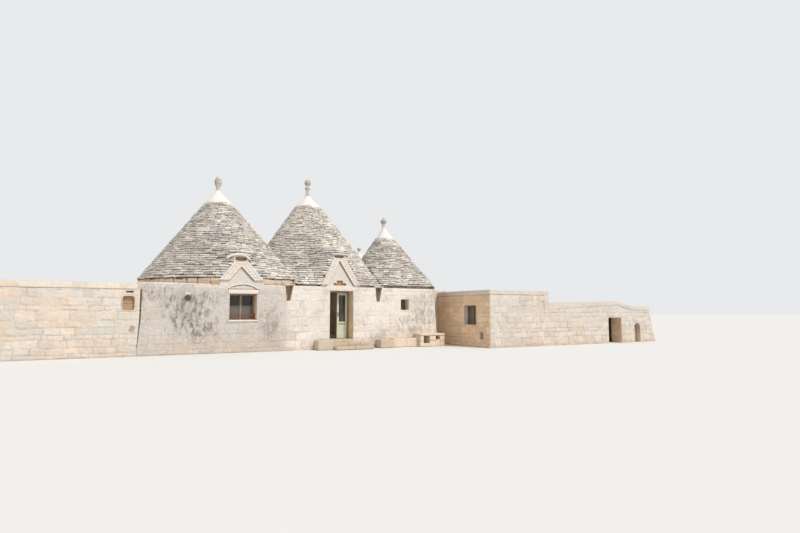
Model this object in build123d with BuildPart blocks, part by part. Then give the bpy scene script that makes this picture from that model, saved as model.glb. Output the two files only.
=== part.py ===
"""Trullo house: three dry-stone cones over one limewashed front, a fourth cone behind, low wings each side.

Millimetres. The origin is on the ground, under the middle of the door, in the plane of the front walls.
+X runs to the right along the front, +Y into the house, +Z up.
"""
import os

from build123d import *

os.makedirs("parts", exist_ok=True)

# Levels
wall_height = 2550
floor_height = 400

# Passages between the rooms
passage_height = 1900
passage_ab_width = 900
passage_bc_front_cheek = 300
passage_bc_back_cheek = 350
passage_cd_width = 800

# Trullo A, left: the plan circle touches the front line, and the cone leans as it rises
a_radius = 3300
a_room = 1750
a_eave = 2790
a_cap_level = 6170
a_cap_radius = 560
a_cap_height = 620
a_lean = -240
a_left_step = 170

# Trullo B, middle, with the door
b_x = -30
b_radius = 3390
b_room = 1600
b_eave = 2620
b_cap_level = 6440
b_cap_radius = 600
b_cap_height = 600
b_lean = -260
spacing_ab = 4130

# Trullo C, right
c_radius = 2250
c_room = 1150
c_eave = 2650
c_cap_level = 5040
c_cap_radius = 450
c_cap_height = 600
c_lean = -230
spacing_bc = 3480
c_front_width = 2870
c_corner_batter = 190

# Trullo D, behind C
d_radius = 2000
d_room = 1150
d_eave = 2600
d_cap_level = 4450
d_cap_radius = 400
d_cap_height = 480
d_lean = 60
d_x = 4050
d_y = 7000
d_margin = 100

# Cone shells
drum_inset = 60
crown_thickness = 600
inner_tip_radius = 250
cap_tip_radius = 95
cap_overlap = 25

# Pinnacles as (radius, height) points: a chalice, a ball on a collared shaft, and two plain heads
a_pinnacle = [(95, 0), (80, 100), (85, 220), (120, 330), (155, 430), (150, 500), (120, 560),
              (100, 585), (20, 618)]
b_pinnacle = [(98, 0), (92, 120), (95, 230), (122, 300), (110, 350), (78, 405), (110, 480),
              (143, 570), (125, 670), (70, 725), (15, 742)]
c_pinnacle = [(85, 0), (62, 70), (82, 150), (138, 250), (104, 350), (60, 430), (15, 455)]
d_pinnacle = [(80, 0), (58, 50), (74, 100), (112, 160), (84, 220), (15, 255)]

# Recesses under the valleys, between the fronts, which narrow towards their feet
recess_width = 320
recess_depth = 350
recess_level = 1950
recess_taper = 60

# Door
door_width = 1050
door_top = 2380
door_reveal = 450
embrasure_step = 95
lintel_bearing = 195
door_lintel_height = 220
frame_section = 60
frame_depth = 90
leaf_thickness = 45
leaf_clearance = 5
leaf_stile = 82
bottom_rail = 190
lock_rail_level = 580
lock_rail = 110
top_rail = 95
glass_thickness = 6
panel_recess = 12
pin_radius = 6
pin_gap = 0.3
pin_height = 46
eye_radius = 11
eye_height = 50
strap_length = 170
strap_thickness = 4
strap_height = 32
bracket_depth = 20
bracket_height = 25
hinge_margin = 260

# Window of A
window_x = -4030
window_width = 1020
window_sill_level = 1220
window_top = 2190
window_reveal = 430
window_bar = 52
window_frame_depth = 60
mullion_width = 74
sill_overhang = 50
sill_thickness = 85
sill_side = 60
window_lintel_height = 170
window_lintel_depth = 380
guard_height = 210
guard_setback = 250
guard_section = 24
guard_slats = 9

# Spout hole of A
spout_x = -6010
spout_level = 1900
spout_size = 220
spout_depth = 500

# Small window of C
small_window_x = 3035
small_window_width = 410
small_window_level = 1600
small_window_height = 460
small_window_reveal = 330
small_window_bar = 38

# Gables over the window and the door: a pointed wall between two sloping bands of slabs,
# with a vent slot under a hood slab on top; the top of each stands a little left of its foot
window_gable_x = -4110
window_gable_top_x = -4150
window_gable_width = 1680
window_gable_foot = 2700
window_gable_wall = 920
window_gable_apex = 3215
window_gable_shoulder = 540
window_gable_top = 3630
window_slot_height = 190
window_hood_thickness = 105
door_gable_x = -55
door_gable_top_x = -140
door_gable_width = 1720
door_gable_foot = 2615
door_gable_wall = 1175
door_gable_apex = 3630
door_gable_shoulder = 520
door_gable_top = 3885
door_slot_height = 115
door_hood_thickness = 60
gable_seat = 450
gable_depth = 1350
slot_depth = 320
slot_cheek = 40
slot_cover = 30
hood_overhang = 70
hood_edge = 40
hood_flat = 0.5
band_overhang = 70
band_depth = 350
niche_x = -90
niche_width = 560
niche_height = 105
niche_depth = 80

# Steps, threshold and bench
threshold_nosing = 60
step_rise = 130
step_going = 400
step_left = -550
step_right = 1120
block_width = 660
block_depth = 520
block_height = 390
right_block_x = 1900
right_block_height = 350
bench_left = 3500
bench_right = 4760
bench_height = 570
bench_depth = 580
bench_slab = 95
bench_nosing = 30
bench_hole_x = 3670
bench_hole_width = 310
bench_hole_level = 150
bench_hole_height = 320
bench_vent_x = 4300
bench_vent_width = 220
bench_vent_level = 300
bench_vent_height = 150
bench_hole_depth = 450
ledge_length = 1200
ledge_height = 380
ledge_depth = 350

# Left annex, flat roofed
annex_length = 5370
annex_depth = 4200
annex_height = 2500
annex_wall = 600
flat_roof = 200
blocked_niche_x = -7900
blocked_niche_width = 390
blocked_niche_level = 1540
blocked_niche_height = 530
blocked_niche_depth = 140
slit_width = 220
slit_height = 65
slit_level = 2165
slit_inset = 30
roof_overhang = 30

# Right wing
wing_left = 5550
wing_front = -2800
wing_back = 1100
wing_length = 10550
wing_end_batter = 450
wing_wall = 600
wing_high_length = 3350
wing_high = 2450
wing_low = 1800
wing_ridge = 2050
wing_ridge_x = 13600
wing_slope_end = 14700
wing_roof_thickness = 180
wing_upstand = 250
wing_door_x = 13420
wing_door_width = 950
wing_door_height = 1230
wing_niche_x = 15120
wing_niche_width = 460
wing_niche_height = 960
wing_niche_depth = 250
wing_window_y = -1415
wing_window_width = 870
wing_window_level = 950
wing_window_height = 850
wing_window_reveal = 220
wing_window_bar = 60
wing_pocket_y = -2200
wing_pocket_width = 240
wing_pocket_level = 340
wing_pocket_height = 300

# Places that follow from the sizes
a_x = b_x - spacing_ab
a_y = a_radius
b_y = b_radius
c_x = b_x + spacing_bc
c_y = c_radius
a_left = a_x - a_radius - a_left_step
a_front = a_radius - a_room
b_front = b_radius - b_room
c_front = c_radius - c_room
ab_left = a_x + a_room
ab_right = b_x - b_room
bc_left = b_x + b_room
bc_right = c_x - c_room
b_left_corner = ab_left + recess_width
c_left_corner = bc_left + recess_width
c_right_corner = c_left_corner + c_front_width
d_room_front = d_y - d_room
d_half = d_radius - d_margin
d_left = d_x - d_half
d_right = d_x + d_half
passage_top = floor_height + passage_height
hinge_offset = eye_radius + pin_gap
hinge_y = door_reveal + frame_depth + hinge_offset
hinge_x = door_width / 2 - frame_section
wing_right = wing_left + wing_length
wing_step = wing_left + wing_high_length


def block(x, y, z, mode=Mode.ADD):
    """A plain block between two values on each axis, in the piece that is being built."""
    with Locations((x[0], y[0], z[0])):
        Box(x[1] - x[0], y[1] - y[0], z[1] - z[0], align=(Align.MIN, Align.MIN, Align.MIN), mode=mode)


def opening(x_middle, width, y, z, mode=Mode.SUBTRACT):
    """A hole or block of one width about its middle."""
    block((x_middle - width / 2, x_middle + width / 2), y, z, mode)


def front_prism(outline, y, mode=Mode.ADD):
    """An outline of (X, Z) points carried straight back from y[0] to y[1]."""
    with BuildSketch(Plane.XZ.offset(-y[0])) as face:
        with BuildLine():
            Polyline(*outline, close=True)
        make_face()
    extrude(face.sketch, amount=y[0] - y[1], mode=mode)


def plan_prism(outline, z, mode=Mode.ADD):
    """An outline of (X, Y) points raised from z[0] to z[1]."""
    with BuildSketch(Plane.XY.offset(z[0])) as face:
        with BuildLine():
            Polyline(*outline, close=True)
        make_face()
    extrude(face.sketch, amount=z[1] - z[0], mode=mode)


def leaning_cone(foot, lean, foot_radius, tip_radius, foot_level, tip_level):
    """A cone cut off at its tip, whose upper circle is moved along X by its lean."""
    with BuildPart() as cone:
        with BuildSketch(Plane.XY.offset(foot_level)):
            with Locations(foot):
                Circle(foot_radius)
        with BuildSketch(Plane.XY.offset(tip_level)):
            with Locations((foot[0] + lean, foot[1])):
                Circle(tip_radius)
        loft()
    return cone.part


def roof_body(centre, radius, eave, cap_level, cap_radius, lean):
    """The outside of one roof: a low drum on the wall top, and the leaning cone up to the cap."""
    with BuildPart() as body:
        with BuildSketch(Plane.XY.offset(wall_height)):
            with Locations(centre):
                Circle(radius - drum_inset)
        extrude(amount=eave - wall_height)
        add(leaning_cone(centre, lean, radius, cap_radius, eave, cap_level))
    return body.part


def roof_hollow(centre, room, cap_level, lean):
    """The dome inside one roof, which ends below the solid crown."""
    level = cap_level - crown_thickness
    return leaning_cone(centre, lean, room, inner_tip_radius, wall_height, level)


def export(piece, name):
    piece.part.label = name
    export_step(piece.part, f"parts/{name}.step")


# Front wall of A, with its window and spout hole
window_left = window_x - window_width / 2
window_right = window_x + window_width / 2
with BuildPart() as front_wall_a:
    block((a_left, ab_left), (0, a_front), (0, wall_height))
    opening(window_x, window_width, (0, a_front), (window_sill_level, window_top))
    opening(window_x, window_width + 2 * sill_side, (0, window_lintel_depth),
            (window_top, window_top + window_lintel_height))
    opening(window_x, window_width + 2 * sill_side, (0, window_reveal),
            (window_sill_level - sill_thickness, window_sill_level))
    opening(spout_x, spout_size, (0, spout_depth), (spout_level, spout_level + spout_size))
export(front_wall_a, "front_wall_a")

with BuildPart() as window_lintel:
    opening(window_x, window_width + 2 * sill_side, (0, window_lintel_depth),
            (window_top, window_top + window_lintel_height), Mode.ADD)
export(window_lintel, "window_lintel")

with BuildPart() as window_sill:
    opening(window_x, window_width + 2 * sill_side, (-sill_overhang, window_reveal),
            (window_sill_level - sill_thickness, window_sill_level), Mode.ADD)
export(window_sill, "window_sill")

# Side and back wall of A
a_back = a_y + a_room
with BuildPart() as rear_walls_a:
    plan_prism([(a_left, a_front), (a_x - a_room, a_front), (a_x - a_room, a_back), (ab_left, a_back),
                (ab_left, a_y + a_radius), (a_left, a_y + a_radius)], (0, wall_height))
export(rear_walls_a, "rear_walls_a")


def recess(left, right):
    """The notch under a valley, narrower at its foot, open at the wall top."""
    front_prism([(left, wall_height), (right, wall_height), (right - 2 * recess_taper, recess_level),
                 (left + recess_taper, recess_level)], (0, recess_depth), Mode.SUBTRACT)


# Party wall between A and B, with the recess that shows between the two fronts
b_back = b_y + b_room
with BuildPart() as party_wall_ab:
    plan_prism([(ab_left, 0), (b_left_corner, 0), (b_left_corner, b_front),
                (ab_right, b_front), (ab_right, b_back), (ab_left, b_back)], (0, wall_height))
    recess(ab_left, b_left_corner)
    block((ab_left, ab_right), (b_y - passage_ab_width / 2, b_y + passage_ab_width / 2),
          (floor_height, passage_top), Mode.SUBTRACT)
export(party_wall_ab, "party_wall_ab")

# Front walls of B, beside the door
door_edge = door_width / 2
embrasure = door_edge + embrasure_step
frame_back = door_reveal + frame_depth
lintel_half = door_edge + lintel_bearing
with BuildPart() as front_wall_b_left:
    plan_prism([(b_left_corner, 0), (-door_edge, 0), (-door_edge, frame_back), (-embrasure, frame_back),
                (-embrasure, b_front), (b_left_corner, b_front)], (0, wall_height))
    block((-lintel_half, -door_edge), (0, door_reveal), (door_top, wall_height), Mode.SUBTRACT)
export(front_wall_b_left, "front_wall_b_left")

with BuildPart() as front_wall_b_right:
    plan_prism([(bc_left, 0), (door_edge, 0), (door_edge, frame_back), (embrasure, frame_back),
                (embrasure, b_front), (bc_left, b_front)], (0, wall_height))
    block((door_edge, lintel_half), (0, door_reveal), (door_top, wall_height), Mode.SUBTRACT)
export(front_wall_b_right, "front_wall_b_right")

lintel_top = door_top + door_lintel_height
with BuildPart() as door_lintel:
    block((-lintel_half, lintel_half), (0, door_reveal), (door_top, lintel_top))
    block((-door_edge, door_edge), (door_reveal, frame_back), (door_top, wall_height))
    block((-embrasure, embrasure), (frame_back, b_front), (door_top, wall_height))
export(door_lintel, "door_lintel")

with BuildPart() as back_wall_b:
    block((ab_left, bc_right), (b_back, d_room_front), (0, wall_height))
    block((ab_left, d_left), (d_room_front, b_y + b_radius), (0, wall_height))
export(back_wall_b, "back_wall_b")

# Party wall between B and C
c_back = c_y + c_room
with BuildPart() as party_wall_bc:
    plan_prism([(bc_left, 0), (c_left_corner, 0), (c_left_corner, c_front),
                (bc_right, c_front), (bc_right, b_back), (bc_left, b_back)], (0, wall_height))
    recess(bc_left, c_left_corner)
    block((bc_left, bc_right), (b_front + passage_bc_front_cheek, c_back - passage_bc_back_cheek),
          (floor_height, passage_top), Mode.SUBTRACT)
export(party_wall_bc, "party_wall_bc")

# Front and side walls of C
with BuildPart() as front_wall_c:
    front_prism([(c_left_corner, 0), (c_right_corner, 0), (c_right_corner - c_corner_batter, wall_height),
                 (c_left_corner, wall_height)], (0, c_front))
    opening(small_window_x, small_window_width, (0, c_front),
            (small_window_level, small_window_level + small_window_height))
export(front_wall_c, "front_wall_c")

with BuildPart() as side_wall_c:
    block((c_x + c_room, d_right), (c_front, c_back), (0, wall_height))
export(side_wall_c, "side_wall_c")

# Party wall between C and D, and the three other walls of D
with BuildPart() as party_wall_cd:
    block((bc_right, d_right), (c_back, d_room_front), (0, wall_height))
    opening(c_x + c_room / 2, passage_cd_width, (c_back, d_room_front), (floor_height, passage_top))
export(party_wall_cd, "party_wall_cd")

with BuildPart() as rear_walls_d:
    block((d_left, d_right), (d_room_front, d_y + d_half), (0, wall_height))
    block((d_x - d_room, d_x + d_room), (d_room_front, d_y + d_room), (0, wall_height), Mode.SUBTRACT)
export(rear_walls_d, "rear_walls_d")

# Floors of the four rooms
with BuildPart() as house_floors:
    block((a_x - a_room, ab_left), (a_front, a_back), (0, floor_height))
    block((ab_right, bc_left), (b_front, b_back), (0, floor_height))
    block((bc_right, c_x + c_room), (c_front, c_back), (0, floor_height))
    block((d_x - d_room, d_x + d_room), (d_room_front, d_y + d_room), (0, floor_height))
export(house_floors, "house_floors")

# Outside shapes of the roofs and gables, from which the pieces are cut
body_a = roof_body((a_x, a_y), a_radius, a_eave, a_cap_level, a_cap_radius, a_lean)
body_b = roof_body((b_x, b_y), b_radius, b_eave, b_cap_level, b_cap_radius, b_lean)
body_c = roof_body((c_x, c_y), c_radius, c_eave, c_cap_level, c_cap_radius, c_lean)
body_d = roof_body((d_x, d_y), d_radius, d_eave, d_cap_level, d_cap_radius, d_lean)
valley_ab = Plane(origin=((ab_left + ab_right) / 2, 0, 0), z_dir=(1, 0, 0))
valley_bc = Plane(origin=((bc_left + bc_right) / 2, 0, 0), z_dir=(1, 0, 0))


def gable_outline(x, top_x, width, foot, shoulder, slope_top, top):
    """The whole front of a gable: upright feet, two slopes, and a flat top that holds the vent slot."""
    left = top_x - shoulder / 2
    right = top_x + shoulder / 2
    return [(x - width / 2, wall_height), (x - width / 2, foot), (left, slope_top), (left, top),
            (right, top), (right, slope_top), (x + width / 2, foot), (x + width / 2, wall_height)]


def band_outline(side, x, top_x, width, foot, wall, apex, shoulder, slope_top):
    """The front of one band of slabs: from the gable's foot up to the middle, under the slot."""
    return [(x + side * width / 2, foot), (x + side * wall / 2, foot), (top_x, apex), (top_x, slope_top),
            (top_x + side * shoulder / 2, slope_top)]


window_slope_top = window_gable_top - slot_cover - window_slot_height
door_slope_top = door_gable_top - slot_cover - door_slot_height
window_gable_shape = gable_outline(window_gable_x, window_gable_top_x, window_gable_width, window_gable_foot,
                                   window_gable_shoulder, window_slope_top, window_gable_top)
door_gable_shape = gable_outline(door_gable_x, door_gable_top_x, door_gable_width, door_gable_foot,
                                 door_gable_shoulder, door_slope_top, door_gable_top)
bands = []
for side in (-1, 1):
    bands.append(band_outline(side, window_gable_x, window_gable_top_x, window_gable_width, window_gable_foot,
                              window_gable_wall, window_gable_apex, window_gable_shoulder, window_slope_top))
    bands.append(band_outline(side, door_gable_x, door_gable_top_x, door_gable_width, door_gable_foot,
                              door_gable_wall, door_gable_apex, door_gable_shoulder, door_slope_top))

# Roof of A, cut at the valley to B
with BuildPart() as body_a_left:
    add(body_a)
    split(bisect_by=valley_ab, keep=Keep.BOTTOM)
with BuildPart() as roof_a:
    add(body_a_left.part)
    add(roof_hollow((a_x, a_y), a_room, a_cap_level, a_lean), mode=Mode.SUBTRACT)
    front_prism(window_gable_shape, (-band_overhang, gable_seat), Mode.SUBTRACT)
export(roof_a, "roof_a")

# Roof of C, cut where it would reach into the dome of B
with BuildPart() as body_c_right:
    add(body_c)
    split(bisect_by=valley_bc, keep=Keep.TOP)
with BuildPart() as roof_c:
    add(body_c_right.part)
    add(roof_hollow((c_x, c_y), c_room, c_cap_level, c_lean), mode=Mode.SUBTRACT)
export(roof_c, "roof_c")

# Roof of B, which fills the valleys on both sides
with BuildPart() as roof_b:
    add(body_b)
    add(roof_hollow((b_x, b_y), b_room, b_cap_level, b_lean), mode=Mode.SUBTRACT)
    add(body_a_left.part, mode=Mode.SUBTRACT)
    add(body_c_right.part, mode=Mode.SUBTRACT)
    front_prism(door_gable_shape, (-band_overhang, gable_seat), Mode.SUBTRACT)
export(roof_b, "roof_b")

with BuildPart() as roof_d:
    add(body_d)
    add(roof_hollow((d_x, d_y), d_room, d_cap_level, d_lean), mode=Mode.SUBTRACT)
export(roof_d, "roof_d")

# Gables, seated in the fronts of the roofs and lying on the cones behind
with BuildPart() as window_gable:
    front_prism(window_gable_shape, (0, gable_depth))
    add(body_a, mode=Mode.SUBTRACT)
    front_prism(window_gable_shape, (0, gable_seat))
    for outline in bands:
        front_prism(outline, (0, band_depth), Mode.SUBTRACT)
    opening(window_gable_top_x, window_gable_shoulder - 2 * slot_cheek, (0, slot_depth),
            (window_slope_top, window_gable_top - slot_cover))
export(window_gable, "window_gable")

with BuildPart() as door_gable:
    front_prism(door_gable_shape, (0, gable_depth))
    add(body_b, mode=Mode.SUBTRACT)
    front_prism(door_gable_shape, (0, gable_seat))
    for outline in bands:
        front_prism(outline, (0, band_depth), Mode.SUBTRACT)
    block((-lintel_half, lintel_half), (0, gable_seat), (wall_height, lintel_top), Mode.SUBTRACT)
    opening(niche_x, niche_width, (0, niche_depth), (lintel_top, lintel_top + niche_height))
    opening(niche_x, niche_width / 2, (0, niche_depth),
            (lintel_top + niche_height, lintel_top + 2 * niche_height))
    opening(door_gable_top_x, door_gable_shoulder - 2 * slot_cheek, (0, slot_depth),
            (door_slope_top, door_gable_top - slot_cover))
export(door_gable, "door_gable")


def hood(x, shoulder, top, thickness):
    """The slab over a vent slot, thinner towards its two ends."""
    half = shoulder / 2 + hood_overhang
    front_prism([(x - half, top), (x + half, top), (x + half, top + hood_edge),
                 (x + hood_flat * half, top + thickness), (x - hood_flat * half, top + thickness),
                 (x - half, top + hood_edge)], (-hood_overhang, gable_seat))


# Slabs on the gables
with BuildPart() as gable_slabs:
    for outline in bands:
        front_prism(outline, (-band_overhang, band_depth))
    hood(window_gable_top_x, window_gable_shoulder, window_gable_top, window_hood_thickness)
    hood(door_gable_top_x, door_gable_shoulder, door_gable_top, door_hood_thickness)
export(gable_slabs, "gable_slabs")


# Lime-plastered caps, which go on leaning at the rate of the cones below them
roofs = [
    ("a", a_x, a_y, a_eave, a_cap_level, a_cap_radius, a_cap_height, a_lean),
    ("b", b_x, b_y, b_eave, b_cap_level, b_cap_radius, b_cap_height, b_lean),
    ("c", c_x, c_y, c_eave, c_cap_level, c_cap_radius, c_cap_height, c_lean),
    ("d", d_x, d_y, d_eave, d_cap_level, d_cap_radius, d_cap_height, d_lean),
]
tips = {}
with BuildPart() as plaster_caps:
    for name, x, y, eave, level, cap_radius, height, lean in roofs:
        tip_lean = lean * height / (level - eave)
        add(leaning_cone((x + lean, y), tip_lean, cap_radius + cap_overlap, cap_tip_radius,
                         level, level + height))
        tips[name] = (x + lean + tip_lean, y, level + height)
export(plaster_caps, "plaster_caps")


def pinnacle(name, profile):
    """A turned stone on a cap: (radius, height) points from its foot to its top, joined by one curve."""
    with BuildPart() as stone:
        with BuildSketch(Plane.XZ):
            with BuildLine():
                Line((0, 0), profile[0])
                Spline(*profile)
                Line(profile[-1], (0, profile[-1][1]))
                Line((0, profile[-1][1]), (0, 0))
            make_face()
        revolve(axis=Axis.Z)
    placed = stone.part.moved(Location(tips[name]))
    placed.label = f"pinnacle_{name}"
    export_step(placed, f"parts/pinnacle_{name}.step")


pinnacle("a", a_pinnacle)
pinnacle("b", b_pinnacle)
pinnacle("c", c_pinnacle)
pinnacle("d", d_pinnacle)

# Window frame with its middle post, the glass, and a low slatted guard in front
frame_inner = (window_left + window_bar, window_right - window_bar)
with BuildPart() as window_frame:
    block((window_left, window_right), (window_reveal, window_reveal + window_frame_depth),
          (window_sill_level, window_top))
    block((frame_inner[0], window_x - mullion_width / 2), (window_reveal, window_reveal + window_frame_depth),
          (window_sill_level + window_bar, window_top - window_bar), Mode.SUBTRACT)
    block((window_x + mullion_width / 2, frame_inner[1]), (window_reveal, window_reveal + window_frame_depth),
          (window_sill_level + window_bar, window_top - window_bar), Mode.SUBTRACT)
export(window_frame, "window_frame")

pane_y = window_reveal + window_frame_depth / 2
with BuildPart() as window_glass:
    block((frame_inner[0], window_x - mullion_width / 2), (pane_y, pane_y + glass_thickness),
          (window_sill_level + window_bar, window_top - window_bar))
    block((window_x + mullion_width / 2, frame_inner[1]), (pane_y, pane_y + glass_thickness),
          (window_sill_level + window_bar, window_top - window_bar))
export(window_glass, "window_glass")

guard_gap = (window_width - guard_section) / (guard_slats - 1)
with BuildPart() as window_guard:
    for level in (guard_section, guard_height - guard_section):
        block((window_left, window_right), (guard_setback, guard_setback + guard_section),
              (window_sill_level + level, window_sill_level + level + guard_section))
    for index in range(guard_slats):
        slat_x = window_left + index * guard_gap
        block((slat_x, slat_x + guard_section), (guard_setback, guard_setback + guard_section),
              (window_sill_level, window_sill_level + guard_height))
export(window_guard, "window_guard")

# Small window of C
small_left = small_window_x - small_window_width / 2
small_right = small_window_x + small_window_width / 2
small_top = small_window_level + small_window_height
with BuildPart() as small_window:
    block((small_left, small_right), (small_window_reveal, small_window_reveal + window_frame_depth),
          (small_window_level, small_top))
    opening(small_window_x, small_window_width - 2 * small_window_bar,
            (small_window_reveal, small_window_reveal + (window_frame_depth - glass_thickness) / 2),
            (small_window_level + small_window_bar, small_top - small_window_bar))
    opening(small_window_x, small_window_width - 2 * small_window_bar,
            (small_window_reveal + (window_frame_depth + glass_thickness) / 2,
             small_window_reveal + window_frame_depth),
            (small_window_level + small_window_bar, small_top - small_window_bar))
export(small_window, "small_window")

# Door frame, with two brackets and pins on each side that carry the leaves
leaf_bottom = floor_height + 2 * leaf_clearance
leaf_top = door_top - frame_section - leaf_clearance
hinge_levels = (leaf_bottom + hinge_margin, leaf_top - hinge_margin)
with BuildPart() as door_frame:
    block((-door_edge, door_edge), (door_reveal, frame_back), (floor_height, door_top))
    block((-hinge_x, hinge_x), (door_reveal, frame_back), (floor_height, door_top - frame_section),
          Mode.SUBTRACT)
    for side in (-1, 1):
        for level in hinge_levels:
            inner, outer = sorted((side * hinge_x, side * door_edge))
            block((inner, outer), (frame_back, frame_back + bracket_depth), (level - bracket_height, level))
            with Locations((side * hinge_x, hinge_y, level - bracket_height)):
                Cylinder(eye_radius - 2 * pin_gap, bracket_height,
                         align=(Align.CENTER, Align.CENTER, Align.MIN))
            with Locations((side * hinge_x, hinge_y, level)):
                Cylinder(pin_radius, pin_height, align=(Align.CENTER, Align.CENTER, Align.MIN))
export(door_frame, "door_frame")

# Door leaves, drawn closed and to the right of a hinge at the left; one is mirrored, the other turned open
leaf_width = hinge_x - leaf_clearance - leaf_clearance / 2
leaf_back = -hinge_offset
leaf_front = leaf_back - leaf_thickness
pane_bottom = leaf_bottom + lock_rail_level + lock_rail
pane_top = leaf_top - top_rail
panel_levels = (leaf_bottom + bottom_rail, leaf_bottom + lock_rail_level)
clear_x = (leaf_clearance + leaf_stile, leaf_clearance + leaf_width - leaf_stile)
with BuildPart() as closed_leaf:
    block((leaf_clearance, leaf_clearance + leaf_width), (leaf_front, leaf_back), (leaf_bottom, leaf_top))
    block(clear_x, (leaf_front, leaf_back), (pane_bottom, pane_top), Mode.SUBTRACT)
    block(clear_x, (leaf_front, leaf_front + panel_recess), panel_levels, Mode.SUBTRACT)
    block(clear_x, (leaf_back - panel_recess, leaf_back), panel_levels, Mode.SUBTRACT)
    for level in hinge_levels:
        strap_level = level + pin_gap + (eye_height - strap_height) / 2
        block((0, strap_length), (leaf_back, leaf_back + strap_thickness),
              (strap_level, strap_level + strap_height))
        with Locations((0, 0, level + pin_gap)):
            Cylinder(eye_radius, eye_height, align=(Align.CENTER, Align.CENTER, Align.MIN))
            Cylinder(pin_radius + pin_gap, eye_height, align=(Align.CENTER, Align.CENTER, Align.MIN),
                     mode=Mode.SUBTRACT)
with BuildPart() as closed_pane:
    pane_front = (leaf_front + leaf_back - glass_thickness) / 2
    block(clear_x, (pane_front, pane_front + glass_thickness), (pane_bottom, pane_top))

left_hinge = Location((-hinge_x, hinge_y, 0))
right_hinge = Location((hinge_x, hinge_y, 0))
quarter_open = Location((0, 0, 0), (0, 0, 90))
for kind, drawn in (("leaf", closed_leaf), ("glass", closed_pane)):
    with BuildPart() as left_piece:
        add(drawn.part.moved(left_hinge * quarter_open))
    export(left_piece, f"door_{kind}_left")
    with BuildPart() as right_piece:
        add(drawn.part.mirror(Plane.YZ).moved(right_hinge))
    export(right_piece, f"door_{kind}_right")

# Threshold through the whole wall, and the steps in front with a squared block at each side
with BuildPart() as threshold:
    block((-door_edge, door_edge), (-threshold_nosing, frame_back), (0, floor_height))
    block((-embrasure, embrasure), (frame_back, b_front), (0, floor_height))
export(threshold, "threshold")

step_top = floor_height - step_rise
with BuildPart() as door_steps:
    plan_prism([(step_left, 0), (-door_edge, 0), (-door_edge, -threshold_nosing),
                (door_edge, -threshold_nosing), (door_edge, 0), (step_right, 0),
                (step_right, -step_going), (step_left, -step_going)],
               (0, step_top))
    block((step_left, step_right), (-2 * step_going, -step_going), (0, step_top - step_rise))
    block((step_left - block_width, step_left), (-block_depth, 0), (0, block_height))
    opening(right_block_x, block_width, (-block_depth, 0), (0, right_block_height), Mode.ADD)
export(door_steps, "door_steps")

# Bench at the front of C, with a fire hole and a small vent, and a low ledge beside it
with BuildPart() as bench:
    block((bench_left, bench_right), (-bench_depth, 0), (0, bench_height - bench_slab))
    block((bench_left - bench_nosing, bench_right), (-bench_depth - bench_nosing, 0),
          (bench_height - bench_slab, bench_height))
    block((bench_left - ledge_length, bench_left), (-ledge_depth, 0), (0, ledge_height))
    block((bench_hole_x, bench_hole_x + bench_hole_width), (-bench_depth, bench_hole_depth - bench_depth),
          (bench_hole_level, bench_hole_level + bench_hole_height), Mode.SUBTRACT)
    block((bench_vent_x, bench_vent_x + bench_vent_width), (-bench_depth, bench_hole_depth - bench_depth),
          (bench_vent_level, bench_vent_level + bench_vent_height), Mode.SUBTRACT)
export(bench, "bench")

# Left annex: three walls against the side of A, and a flat roof slab
annex_left = a_left - annex_length
with BuildPart() as annex_walls:
    plan_prism([(annex_left, 0), (a_left, 0), (a_left, annex_wall), (annex_left + annex_wall, annex_wall),
                (annex_left + annex_wall, annex_depth - annex_wall), (a_left, annex_depth - annex_wall),
                (a_left, annex_depth), (annex_left, annex_depth)], (0, annex_height - flat_roof))
    opening(blocked_niche_x, blocked_niche_width, (0, blocked_niche_depth),
            (blocked_niche_level, blocked_niche_level + blocked_niche_height))
    opening(blocked_niche_x + slit_inset, slit_width, (0, blocked_niche_depth),
            (slit_level, slit_level + slit_height))
export(annex_walls, "annex_walls")

with BuildPart() as annex_roof:
    block((annex_left - roof_overhang, a_left), (-roof_overhang, annex_depth + roof_overhang),
          (annex_height - flat_roof, annex_height))
export(annex_roof, "annex_roof")


def wing_profile(lower, left, step, right):
    """The top line of the wing from left to right: a high part, then a low roof with a gentle ridge."""
    return [(left, wing_high - lower), (step, wing_high - lower), (step, wing_low - lower),
            (wing_ridge_x, wing_ridge - lower), (wing_slope_end, wing_low - lower), (right, wing_low - lower)]


def wing_long_wall(y):
    """A long wall of the wing, under the roof slab and its upstand."""
    left = wing_left + wing_wall
    top = wing_profile(wing_roof_thickness, left, wing_step - wing_upstand, wing_right)
    front_prism([(left, 0)] + top + [(wing_right + wing_end_batter, 0)], y)


# Right wing
with BuildPart() as wing_side_wall:
    block((wing_left, wing_left + wing_wall), (wing_front, wing_back), (0, wing_high - wing_roof_thickness))
    block((wing_left, wing_left + wing_wall),
          (wing_window_y - wing_window_width / 2, wing_window_y + wing_window_width / 2),
          (wing_window_level, wing_window_level + wing_window_height), Mode.SUBTRACT)
    block((wing_left, wing_left + wing_pocket_width),
          (wing_pocket_y - wing_pocket_width / 2, wing_pocket_y + wing_pocket_width / 2),
          (wing_pocket_level, wing_pocket_level + wing_pocket_height), Mode.SUBTRACT)
export(wing_side_wall, "wing_side_wall")

with BuildPart() as wing_window:
    block((wing_left + wing_window_reveal, wing_left + wing_window_reveal + window_frame_depth),
          (wing_window_y - wing_window_width / 2, wing_window_y + wing_window_width / 2),
          (wing_window_level, wing_window_level + wing_window_height))
    for side in (0, 1):
        pane_width = (wing_window_width - 3 * wing_window_bar) / 2
        pane_left = (wing_window_y - wing_window_width / 2 + wing_window_bar
                     + side * (pane_width + wing_window_bar))
        block((wing_left + wing_window_reveal, wing_left + wing_window_reveal + window_frame_depth / 2),
              (pane_left, pane_left + pane_width),
              (wing_window_level + wing_window_bar, wing_window_level + wing_window_height - wing_window_bar),
              Mode.SUBTRACT)
export(wing_window, "wing_window")

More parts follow.
